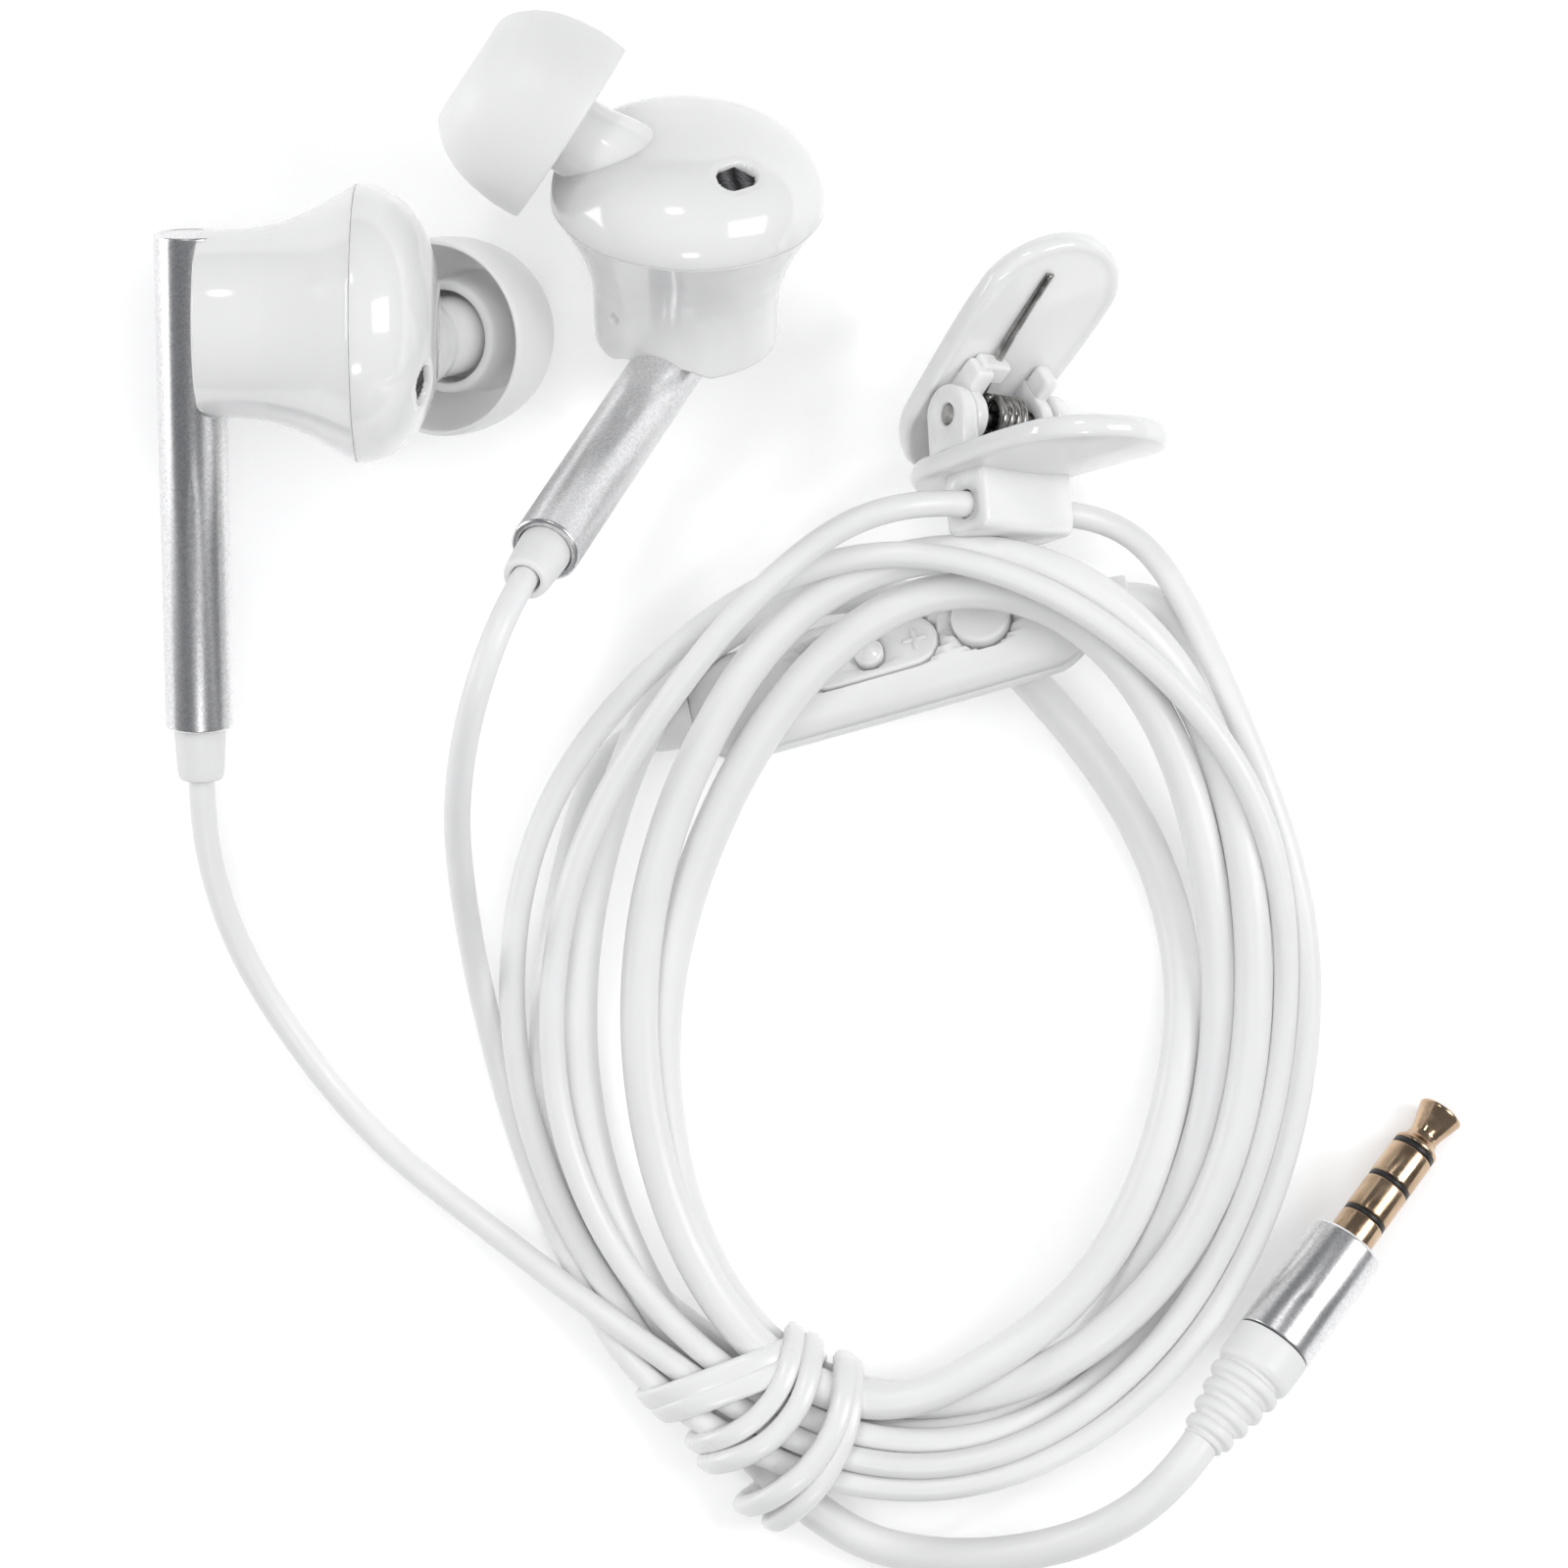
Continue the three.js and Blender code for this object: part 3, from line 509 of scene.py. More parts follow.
def wrap(angle, lean, slack, high, spread, bulge, steps=72):
    """A band's middle line round the cords at an angle of the ring: an upright rounded oblong,
    |x/a|^2.6 + |z/b|^2.6 = 1, round the cords' extents there with slack all round. Its top is
    raised by high times 1 + x / 9, and it stays 0.65 mm above the table. It is moved ahead by
    lean times x, by spread from one end of the band to the other, and by bulge in the middle,
    falling with the square of x to none at its sides."""
    middle, across, ahead = bundle_frame(angle)
    local = beads - middle
    a, f, h = local @ across, local @ ahead, local[:, 2]
    near = (np.abs(f - lean * a - bulge / 2) < 1.8) & (np.abs(a) < 8.5)
    a, h, size = a[near], h[near], bead_size[near]
    left, right, base, top = (a - size).min(), (a + size).max(), (h - size).min(), (h + size).max()
    turn = np.radians(np.linspace(-84, 276, steps + 1))
    c, s = np.cos(turn), np.sin(turn)
    x = (right + left) / 2 + ((right - left) / 2 + slack) * np.sign(c) * np.abs(c) ** 0.77
    z = (top + base) / 2 + ((top - base) / 2 + slack) * np.sign(s) * np.abs(s) ** 0.77
    z = np.maximum(z + high * np.clip(s, 0, 1) * (1 + x / 9), 0.65 - middle[2])
    forward = (lean * x + spread * (np.linspace(0, 1, len(x)) - 0.5)
               + bulge * (1 - ((x - x.mean()) / np.ptp(x) * 2) ** 2))
    path = middle + x[:, None] * across + forward[:, None] * ahead + z[:, None] * [0, 0, 1]
    return eased(path, 3), ahead


tie_plastic = finish_of("tie_plastic", (0.84, 0.84, 0.835), 0.3, Coat_Weight=0.3, Coat_Roughness=0.2)
blended(tie_plastic, "Roughness", 300, 0.24, 0.4)
grain(tie_plastic, 1800, 0.1, 0.00003)
tie_bands = []
for angle, lean, slack, lift, wide, high, spread, bulge in (
    (242.3, -0.10, 0.75, 0.5, 1.7, 1.5, 0.5, 2.3), (238.9, -0.05, 0.65, 0.2, 1.6, 1.3, 0.4, 2.0),
    (250.0, -0.14, 0.70, 0.4, 1.8, 1.4, 0.5, 2.2), (253.4, -0.08, 0.50, 0.1, 1.6, 1.2, 0.5, 1.9),
    (233.8, -0.46, 0.35, 0.0, 1.8, 0.8, 0.5, 0.0), (236.8, -0.52, 0.45, 0.1, 1.7, 0.8, 0.5, 0.0),
):
    route, ahead = wrap(angle, lean, slack, lift, spread, bulge)
    tie_bands.append(carried(route, ring_section(high, wide), ahead))
made_piece("wire_tie", tie_bands, tie_plastic, "cord_skin", "cord_tie")


# -------- splitter sleeve
# A short sleeve of white plastic, moulded over the place where the two ear cords join the main
# cord. It lies under the coil's right side.


def rounded(profile, radius=0.2, steps=5):
    """A profile with its inner corners eased: each is a quadratic curve between points that lie
    radius before and after it, or at most 45 % of the way along each side."""
    p = np.asarray(profile, float)
    out = [p[:1]]
    t = np.linspace(0, 1, steps)[:, None]
    for before, corner, after in zip(p[:-2], p[1:-1], p[2:]):
        back, on = before - corner, after - corner
        lb, lo = np.linalg.norm(back), np.linalg.norm(on)
        one = corner + back * min(radius / lb, 0.45)
        two = corner + on * min(radius / lo, 0.45)
        out.append((1 - t) ** 2 * one + 2 * t * (1 - t) * corner + t**2 * two)
    return np.vstack([*out, p[-1:]])


def spun(profile, stand, axis="x", sides=64):
    """A profile of (distance along, radius) turned about the frame's X or Y axis: each point goes
    to the circle of its radius in the plane across the axis. A radius of 0 is a closed pole."""
    profile = np.asarray(profile, float)
    turn = np.linspace(0, 2 * np.pi, sides, endpoint=False)
    run = np.broadcast_to(profile[:, :1], (len(profile), sides))
    c, s = profile[:, 1:] * np.cos(turn), profile[:, 1:] * np.sin(turn)
    local = np.stack([run, c, s] if axis == "x" else [c, run, -s], -1)
    return stood(local, stand)


satin_white = finish_of("satin_white", (0.82, 0.82, 0.815), 0.42, Subsurface_Weight=0.15,
                        Subsurface_Radius=(1, 1, 1), Subsurface_Scale=0.001)
blended(satin_white, "Roughness", 260, 0.36, 0.5)
grain(satin_white, 1500, 0.1, 0.00004)
splitter_stand = on_table([55.4, -45.8, 2.1], [0, 1, 0], [-1, 0, 0])
splitter = rounded([[-6, 0], [-6, 1.75], [-5.2, 2], [5.2, 2], [6, 1.7], [6, 0]], 0.4)
made_piece("splitter_sleeve", [spun(splitter, splitter_stand)], satin_white, "satin_white",
           "cord_splitter")


# -------- earbud stems
# A drawn aluminium tube, fine-blasted and anodised silver, open at the lower end where a white
# strain relief plugs into it. A thin cap of the same metal closes the upper end.

buds = [
    ("left", -1, on_table([-20.5, 4.6, 18], [1, 0, 0], [0, 0.97, 0.24])),
    ("right", 1, on_table([14.6, 4.3, 6.8], [0.026, 0.806, 0.59], [0.32, 0.55, -0.77])),
]


def blasted_metal(name, colour, roughness, sparkle):
    """Anodised metal: a very fine bright-and-dark speckle in the colour and a fine relief, over a
    soft lengthwise sheen. Both are stronger with more sparkle."""
    metal = finish_of(name, colour, roughness, Metallic=1.0, Anisotropic=0.35)
    place = node_in(metal, "TexCoord").outputs["Object"]
    speck = node_in(metal, "TexVoronoi", Vector=place, Scale=7500)
    dark = [c * (1 - 0.35 * sparkle) for c in colour]
    bright = [min(1.0, c * (1 + 0.3 * sparkle)) for c in colour]
    onto(metal, ramp_in(metal, speck.outputs["Color"], [(0.1, dark), (0.9, bright)]), "Base Color")
    grain(metal, 5200, 0.3 * sparkle + 0.1, 0.00002, 2.0)
    return metal


silver = blasted_metal("blasted_silver", (0.78, 0.78, 0.785), 0.3, 0.42)
tube_wall = looped(rounded([[6.5, 2.02], [6.5, 2.38], [6.38, 2.5], [-29.35, 2.5], [-29.5, 2.36],
                            [-29.5, 2.0], [6.5, 2.0]], 0.1))
end_cap = rounded([[5.6, 0], [5.6, 2.04], [6.47, 2.04], [6.48, 1.9], [6.47, 0]], 0.02)
for side_name, side, stand in buds:
    made_piece(f"{side_name}_stem", [spun(tube_wall, stand, "y", 96)], silver, "aluminium",
               f"{side_name}_stem_tube")
    made_piece(f"{side_name}_stem_end", [spun(end_cap, stand, "y")], silver, "aluminium",
               f"{side_name}_stem_cap")


# -------- strain reliefs
# A soft white moulding pushed into each stem's lower end. It tapers a little and has a hole for
# the cord, with a rounded mouth.

relief = rounded([[-26.5, 0], [-26.5, 1.9], [-29.6, 1.9], [-30.2, 1.86], [-32.6, 1.72], [-33.3, 1.62],
                  [-33.4, 1.35], [-33.3, 1.08], [-32.4, 1.0], [-30.4, 0.97], [-30.4, 0]], 0.25)
for side_name, side, stand in buds:
    made_piece(f"{side_name}_relief", [spun(relief, stand, "y", 72)], satin_white, "satin_white",
               f"{side_name}_strain_relief")


# -------- rear shells
# Each earbud's rear half is a polished white moulding like a short horn: a straight barrel that
# straddles the stem and has a thin wall across its back, then a flare to the rim where the front
# half snaps on.

RIM_X, RIM_RADIUS = 11.9, 9.95
gloss_white = finish_of("gloss_white", (0.85, 0.85, 0.845), 0.13, Coat_Weight=0.6,
                        Coat_Roughness=0.06, Subsurface_Weight=0.18,
                        Subsurface_Radius=(1, 1, 1), Subsurface_Scale=0.0014)
blended(gloss_white, "Roughness", 120, 0.11, 0.17)
blended(gloss_white, "Base Color", 60, (0.842, 0.842, 0.838), (0.86, 0.86, 0.857))
grain(gloss_white, 420, 0.05, 0.00004, 1.0)


def through(x, points):
    """A smooth curve of radius against x: a monotone cubic through the points, with each slope the
    harmonic mean of its neighbours' slopes."""
    px, py = np.asarray(points, float).T
    rise = np.diff(py) / np.diff(px)
    slope = np.concatenate([[rise[0]], np.where(rise[:-1] * rise[1:] > 0, 2 * rise[:-1] * rise[1:]
                            / (rise[:-1] + rise[1:] + 1e-12), 0.0), [rise[-1]]])
    i = np.clip(np.searchsorted(px, x, side="right") - 1, 0, len(px) - 2)
    w = px[i + 1] - px[i]
    t = (x - px[i]) / w
    return ((2 * t**3 - 3 * t**2 + 1) * py[i] + (t**3 - 2 * t**2 + t) * w * slope[i]
            + (3 * t**2 - 2 * t**3) * py[i + 1] + (t**3 - t**2) * w * slope[i + 1])


def soft_step(value, low, high):
    """0 below low, 1 above high, and 3t^2 - 2t^3 between."""
    t = np.clip((value - low) / (high - low), 0, 1)
    return t * t * (3 - 2 * t)


HORN = [[0.3, 6.62], [1.6, 6.72], [3.6, 6.78], [5.4, 6.98], [7.2, 7.5], [8.8, 8.2], [10.4, 9.1],
        [11.9, 9.95]]


def horn_shell(stand, side, sides=300, rows=100):
    """The rear shell's closed skin. Outer radius follows the horn curve. The rear edge stands at
    x = 0.6, and 0.9 mm further forward where the stem leaves. The wall turns in over a small
    rounded edge and comes back at the radius less 1.1 mm, or 86 % of it if that is smaller. A
    pressure-relief pinhole sinks 0.7 mm where the skin is within 0.4 mm of its centre."""
    turn = np.linspace(0, 2 * np.pi, sides, endpoint=False)  # angle 0 points down the stem
    rear = 0.6 + 0.9 * soft_step(np.cos(turn), 0.80, 0.98)
    x = rear + (RIM_X - rear) * np.linspace(0, 1, rows)[:, None]
    radius = through(x, HORN)
    inner = np.minimum(radius - 1.1, radius * 0.86)
    lip = np.array([[0.12, -0.02], [0.03, -0.1], [0.0, -0.3], [0.02, -0.8], [0.12, -1.05]])
    seam = np.array([[0.0, -1.1], [0.0, -0.07], [-0.015, -0.02], [-0.05, 0.0]])
    run_x = np.concatenate([RIM_X + seam[:, :1] + 0 * turn, x[-2:0:-1], rear + lip[:, :1], x[1:-1]])
    run_r = np.concatenate([radius[-1] + seam[:, 1:], radius[-2:0:-1], radius[0] + lip[:, 1:],
                            inner[1:-1]])
    local = np.stack([run_x, -run_r * np.cos(turn), run_r * np.sin(turn)], -1)
    spot = np.array([4.4, -5.6, 3.34 * side])
    spot[1:] *= through(4.4, HORN) / np.hypot(5.6, 3.34)
    sunk = 0.7 * soft_step(0.4 - np.linalg.norm(local - spot, axis=-1), -0.08, 0.08)
    local[..., 1:] *= (1 - sunk / np.maximum(run_r, 1))[..., None]
    return stood(looped(local), stand)


back_wall = rounded([[0.7, 0], [0.7, 5.55], [0.8, 5.8], [1.5, 5.8], [1.5, 0]], 0.08)
for side_name, side, stand in buds:
    made_piece(f"{side_name}_horn", [horn_shell(stand, side), spun(back_wall, stand, "x", 96)],
               gloss_white, "gloss_white", f"{side_name}_rear_shell")


# -------- front shells
# The front half is a polished dome with a vent slot, closed behind by a flat web, and a short
# nozzle that leans towards the ear canal and blends into the dome with a wide fillet.

DOME_START, DOME_FRONT = 11.92, 17.8
NOZZLE_ROOT = np.array([12.5, -2.0, 0.0])
VENT_Y, VENT_Z, VENT_LONG, VENT_WIDE = -3.6, 4.9, 3.3, 2.2


def nozzle_stand(stand, side):
    """The nozzle's own frame: its Y axis runs out along (0.48, -0.05, 0.876) towards the ear."""
    way = np.array([0.48, -0.05, 0.876 * side])
    way /= np.linalg.norm(way)
    place, axes = stand
    root = NOZZLE_ROOT @ axes + place
    return on_table(root, np.cross(way @ axes, axes[1]), way @ axes)


def dome_radius(t):
    """The dome's outline from rim (t = 0) to front (t = 1): x = start + depth sin(a)^0.92 and
    radius = rim cos(a)^0.78, where a = t 90 degrees."""
    a = t * np.pi / 2
    depth = DOME_FRONT - DOME_START
    return DOME_START + depth * np.sin(a) ** 0.92, RIM_RADIUS * np.cos(a) ** 0.78


def vent_distance(local, side):
    """Signed distance from the slot's outline, seen along X: the distance to the slot's middle
    segment, which leans along (0.8, -0.6) in Y and Z, less half its width."""
    y, z = local[..., 1] - VENT_Y, local[..., 2] * side + VENT_Z
    along, over = 0.8 * y - 0.6 * z, 0.6 * y + 0.8 * z
    reach = (VENT_LONG - VENT_WIDE) / 2
    return np.hypot(along - np.clip(along, -reach, reach), over) - VENT_WIDE / 2


def dome_skin(side, sides=320, rows=150):
    """The dome's closed skin in the bud's frame. The outline is turned round X; inside the vent
    outline the skin sinks 1.25 mm, and 0.1 mm in a soft band round it. A flat web closes the
    back."""
    turn = np.linspace(0, 2 * np.pi, sides, endpoint=False)
    x, radius = dome_radius(np.linspace(0, 1, rows)[:, None])
    rim = np.array([[0.0, -1.3], [0.0, -0.07], [0.015, -0.02], [0.05, 0.0]])
    x = np.concatenate([[[DOME_START]], DOME_START + rim[:, :1], x[2:]])
    radius = np.concatenate([[[0.0]], RIM_RADIUS + rim[:, 1:], radius[2:]])
    radius[-1] = 0.0
    local = np.stack([x + 0 * turn, radius * np.cos(turn), radius * np.sin(turn)], -1)
    away = vent_distance(local, side)
    inward = -local * [0, 1, 1] / RIM_RADIUS - [1, 0, 0]
    inward /= np.linalg.norm(inward, axis=-1)[..., None]
    sunk = 1.25 * (1 - soft_step(away, -0.26, 0.0)) + 0.1 * np.exp(-((away - 0.1) / 0.22) ** 2)
    front = soft_step(local[..., 0], DOME_START + 0.3, DOME_START + 1.0)
    return local + (inward * (sunk * front)[..., None])


spout = rounded([[2.5, 0], [2.5, 3.6], [5.0, 3.55], [6.6, 3.3], [7.6, 3.05], [9.0, 2.92], [12.2, 2.9],
                 [12.7, 3.3], [13.4, 3.2], [14.1, 2.75], [14.2, 2.3], [13.9, 2.1], [12.0, 2.05],
                 [12.0, 0]], 0.6, 7)
for side_name, side, stand in buds:
    pose = nozzle_stand(stand, side)
    made_piece(f"{side_name}_dome", [stood(dome_skin(side), stand), spun(spout, pose, "y", 80)],
               gloss_white, "gloss_white", f"{side_name}_front_shell")


# -------- vent and nozzle screens
# Behind the vent slot sits a patch of black ribbed mesh, and a fine black screen keeps wax out of
# the nozzle.

black_mesh = finish_of("black_mesh", (0.012, 0.012, 0.013), 0.5)
ribs = node_in(black_mesh, "TexWave", Scale=700,
               Vector=node_in(black_mesh, "TexCoord").outputs["Object"])
ribs.bands_direction = "DIAGONAL"
rib_colours = ramp_in(black_mesh, ribs.outputs["Fac"],
                      [(0, (0.006, 0.006, 0.006)), (1, (0.11, 0.11, 0.115))])
onto(black_mesh, rib_colours, "Base Color")
rib_relief = node_in(black_mesh, "Bump", Height=ribs.outputs["Fac"], Strength=0.9, Distance=0.0001)
onto(black_mesh, rib_relief.outputs["Normal"], "Normal")


def slot_screen(side, rows=14, columns=72):
    """A domed patch in the vent: an upright pill outline shrunk towards its middle segment, 0.62 mm
    under the dome's own surface, with ribs 0.09 mm high across it."""
    turn = np.linspace(0, 2 * np.pi, columns, endpoint=False)
    size = np.linspace(0, VENT_WIDE / 2 + 0.1, rows)[:, None]
    reach = (VENT_LONG - VENT_WIDE) / 2
    z = reach * np.clip(6 * np.cos(turn), -1, 1) + size * np.cos(turn) - VENT_Z * side
    y = size * np.sin(turn) + VENT_Y
    outline_x, outline_r = dome_radius(np.linspace(0, 1, 400))
    x = np.interp(np.hypot(y, z), outline_r[::-1], outline_x[::-1]) - 0.62
    x += 0.09 * np.sin((y + z * side) * 2 * np.pi / 0.42)
    back = np.stack([0 * x[-1:] + 13.0, y[-1:], z[-1:]], -1)
    floor = np.repeat(back.mean(axis=1, keepdims=True), columns, 1)
    return np.concatenate([np.stack([x, y, z], -1), back, floor])


wax_screen = [[13.2, 0], [13.2, 2.0], [13.55, 2.0], [13.6, 1.8], [13.7, 0]]
for side_name, side, stand in buds:
    made_piece(f"{side_name}_vent_mesh", [stood(slot_screen(side), stand)], black_mesh, "black",
               f"{side_name}_vent_screen")
    made_piece(f"{side_name}_wax_screen", [spun(wax_screen, nozzle_stand(stand, side), "y", 48)],
               black_mesh, "black", f"{side_name}_nozzle_screen")


# -------- ear tips
# Soft white silicone mushrooms pushed over the nozzles: a thick inner collar, a round nose with a
# sound hole, and a thin skirt that folds back over the collar.

silicone = finish_of("silicone", (0.86, 0.86, 0.855), 0.42, Subsurface_Weight=0.45,
                     Subsurface_Radius=(1, 1, 1), Subsurface_Scale=0.003, Sheen_Weight=0.15,
                     Sheen_Roughness=0.5)
blended(silicone, "Roughness", 180, 0.36, 0.5)
grain(silicone, 1200, 0.08, 0.00004)
tip_cut = rounded([[10.6, 3.42], [14.6, 3.42], [15.2, 2.3], [17.3, 2.25], [17.75, 2.6], [17.95, 3.4],
                   [17.85, 4.2], [17.3, 5.0], [16.2, 5.95], [14.8, 6.65], [13.2, 7.05], [11.4, 7.25],
                   [9.8, 7.2], [9.25, 7.1], [9.2, 6.9], [9.35, 6.75], [11.2, 6.82], [13.0, 6.5],
                   [14.4, 5.9], [15.3, 5.2], [15.7, 4.5], [14.0, 4.2], [11.0, 4.15], [10.6, 4.0],
                   [10.6, 3.42]], 0.35)
tip_cut = smooth_line(np.column_stack([tip_cut, np.zeros(len(tip_cut))]), 0.16)[:, :2]
for side_name, side, stand in buds:
    made_piece(f"{side_name}_tip", [spun(tip_cut, nozzle_stand(stand, side), "y", 112)], silicone,
               "silicone", f"{side_name}_ear_tip")


# -------- remote shells
# A pill-shaped remote in two fine-textured white mouldings. The upper half has a sunk window for
# the volume rocker, a round well for the call button and a pinhole for the microphone.

REMOTE_REACH, REMOTE_HALF_WIDTH, REMOTE_HALF_HIGH = 11.2, 4.3, 2.8
ROCKER_X, CALL_X, MIC_X = -1.2, 7.4, 4.5
remote_stand = on_table([29.6, -19.4, 5.6], [0.958, 0.27, 0.092], [-0.175, 0.836, -0.519])


def pill_rings(sizes, heights, reach, columns=96, lengthwise="x"):
    """Rings of a pill outline: each ring is a segment of half length reach swept by its size, at
    its height. Columns run round it; a size of 0 closes on the segment."""
    turn = np.linspace(0, 2 * np.pi, columns, endpoint=False)
    sizes, heights = np.asarray(sizes, float)[:, None], np.asarray(heights, float)[:, None]
    long = reach * np.clip(5 * np.cos(turn), -1, 1) + sizes * np.cos(turn)
    wide = sizes * np.sin(turn)
    flat = [long, wide] if lengthwise == "x" else [wide, long]
    return np.stack([*flat, heights + 0 * turn], -1)


def pill_gap(local, x, reach, half):
    """Distance outside a pill outline centred on x along the remote; negative inside it."""
    along = local[..., 0] - x
    return np.hypot(along - np.clip(along, -reach, reach), local[..., 1]) - half


def remote_skin(top):
    """Half of the remote. From its middle (t = 0) to its edge (t = 1) the height over the seam is
    0.06 mm plus the rest times (1 - t^2.7)^(1/2.1), so the face is nearly flat. A web just above
    the seam closes it. The top has its window and wells sunk."""
    t = np.linspace(0, 1, 58)
    height = 0.06 + (REMOTE_HALF_HIGH - 0.06) * (1 - t**2.7) ** (1 / 2.1)
    sizes = np.concatenate([REMOTE_HALF_WIDTH * t,
                            [REMOTE_HALF_WIDTH - 0.12, REMOTE_HALF_WIDTH - 0.5, 0.0]])
    heights = np.concatenate([height, [0.02, 0.02, 0.3]])
    local = pill_rings(sizes, heights, REMOTE_REACH, 560 if top else 220)
    if top:
        upper = soft_step(local[..., 2], 1.2, 2.0)
        window = soft_step(-pill_gap(local, ROCKER_X, 3.1, 2.35), -0.07, 0.09)
        well = soft_step(-pill_gap(local, CALL_X, 0.0, 2.4), -0.07, 0.09)
        pinhole = soft_step(-pill_gap(local, MIC_X, 0.0, 0.32), -0.05, 0.08)
        local[..., 2] -= upper * np.maximum(np.maximum(1.5 * window, 1.5 * well), 0.7 * pinhole)
    else:
        local = local * [1, 1, -1]
    return stood(local, remote_stand)


made_piece("remote_top", [remote_skin(True)], satin_white, "gloss_white", "remote_upper_shell")
made_piece("remote_bottom", [remote_skin(False)], satin_white, "gloss_white", "remote_lower_shell")


# -------- remote buttons
# The rocker is a satin rocker plate with a raised minus and plus; a small dome button stands in
# its middle, and a larger dished button beside it takes calls.


def key_cap(x, reach, half, low, high, crown, columns=120):
    """A pill-shaped key: a straight skirt, a small rounded edge, and a top that stands over its
    edge by crown times 1 - t^2, where t runs from 0 in its middle to 1."""
    t = np.linspace(0, 1, 14)
    edge = np.linspace(0, np.pi / 2, 6)
    sizes = np.concatenate([(half - 0.25) * t, half - 0.25 + 0.25 * np.sin(edge), [half, 0.0]])
    heights = np.concatenate([high + crown * (1 - t**2), high - 0.25 + 0.25 * np.cos(edge),
                              [low, low]])
    return pill_rings(sizes, heights, reach, columns) + [x, 0, 0]


rocker_plate = key_cap(0, 3.1, 2.1, 0.95, 2.42, -0.12)
around_button = np.hypot(rocker_plate[..., 0], rocker_plate[..., 1])
rocker_plate[..., 2] -= 0.9 * soft_step(1.5 - around_button, 0.0, 0.12) * (rocker_plate[..., 2] > 1.5)
rocker_parts = [rocker_plate]
for x, marks in ((-3.5, [(0.72, 0.0)]), (3.5, [(0.72, 0.0), (0.0, 0.72)])):
    for long, tall in marks:
        bar = pill_rings([0, 0.16, 0.2, 0.2, 0], [0.14, 0.12, 0.02, -0.2, -0.2], max(long, tall), 24,
                         "x" if long else "y")
        rocker_parts.append(bar + [x, 0, 2.36])
made_piece("rocker_key", [stood(part + [ROCKER_X, 0, 0], remote_stand) for part in rocker_parts],
           satin_white, "satin_white", "volume_rocker", body="volume_rocker")
for name, node, cap in (
    ("centre_key", "centre_button", key_cap(ROCKER_X, 0, 1.1, 0.95, 2.62, 0.45, 48)),
    ("call_key", "call_button", key_cap(CALL_X, 0, 2.2, 0.95, 3.12, -0.2, 72)),
):
    made_piece(name, [stood(cap, remote_stand)], gloss_white, "gloss_white", node, body=node)


# -------- remote boots
# A short cone of soft white plastic at each end of the remote, moulded round the main cord where
# it goes in.

cone = rounded([[-0.6, 0], [-0.6, 1.95], [0.4, 1.95], [1.0, 1.82], [2.55, 1.62], [2.7, 1.5],
                [2.6, 0]], 0.3) + [15.6, 0]
for end_name, end in (("left", -1), ("right", 1)):
    made_piece(f"remote_{end_name}_boot", [spun(cone * [end, 1], remote_stand, "x", 48)],
               satin_white, "satin_white", f"remote_boot_{end_name}")


# -------- clip jaw and lever
# Two white spoon-shaped mouldings that pinch cloth between their mouths. The jaw carries two outer
# ears and the block that holds one ear cord; the lever has two inner ears, and turns on the pin.

clip_stand = on_table([37.4, -1.9, 11.2], [-0.785, 0.054, 0.616], [0.615, 0.172, 0.77])
LEVER_OPENING = np.radians(34.0)


def spoon(dish, sag):
    """A pill plate along Y with rounded edges: size goes out over the outer face, round the edge
    as a half ellipse 0.45 wide, and back over the inner face, which sinks by dish inside a rim of
    12 % of its half width. The outer face is crowned by 0.35. Its half width falls by 1.2 % of
    itself per millimetre towards the mouth, and the finger end curls away by sag times the square
    of the distance from y = -2, in units of 12 mm."""
    t = np.linspace(0, 1, 16)
    edge = np.linspace(-np.pi / 2, np.pi / 2, 11)
    half, thick = 6.0 - 0.45, 1.6
    sizes = np.concatenate([half * t[:-1], half + 0.45 * np.cos(edge), half * t[-2::-1]])
    heights = np.concatenate([-0.35 * (1 - t[:-1] ** 2) - thick / 2, thick / 2 * np.sin(edge),
                              thick / 2 - dish * soft_step(1 - t[-2::-1], 0.0, 0.12)])
    plate = pill_rings(sizes, heights, 5.5, 128, "y")
    plate[..., 0] *= 1 - 0.012 * np.clip(4 - plate[..., 1], 0, None)
    plate[..., 2] -= sag * np.clip((plate[..., 1] + 2) / 12, 0, None) ** 2
    return plate + [0, 3.5, -4.1 + thick / 2]


def ear_post(x, thick, radius, foot, hole=0.82, columns=96):
    """A plate with a round top and straight sides, pierced for the pin. In polar form about the
    pin its outline is the radius above, and below it min(radius/|cos|, foot/|sin|)."""
    turn = np.linspace(0, 2 * np.pi, columns, endpoint=False)
    c, s = np.cos(turn), np.sin(turn)
    outline = np.where(s > 0, radius, np.minimum(radius / np.maximum(np.abs(c), 1e-3),
                                                 foot / np.maximum(-s, 1e-3)))
    rings = [(-0.5, hole + 0.12, 0), (-0.5, -0.18, 1), (-0.44, -0.05, 1), (-0.32, 0, 1),
             (0.32, 0, 1), (0.44, -0.05, 1), (0.5, -0.18, 1), (0.5, hole + 0.12, 0),
             (0.4, hole, 0), (-0.4, hole, 0)]
    radii = [(outline if outer else 0 * turn) + change for _, change, outer in rings]
    return looped(np.stack([np.stack([0 * turn + x + f * thick, r * c, r * s], -1)
                            for (f, _, _), r in zip(rings, radii)]))


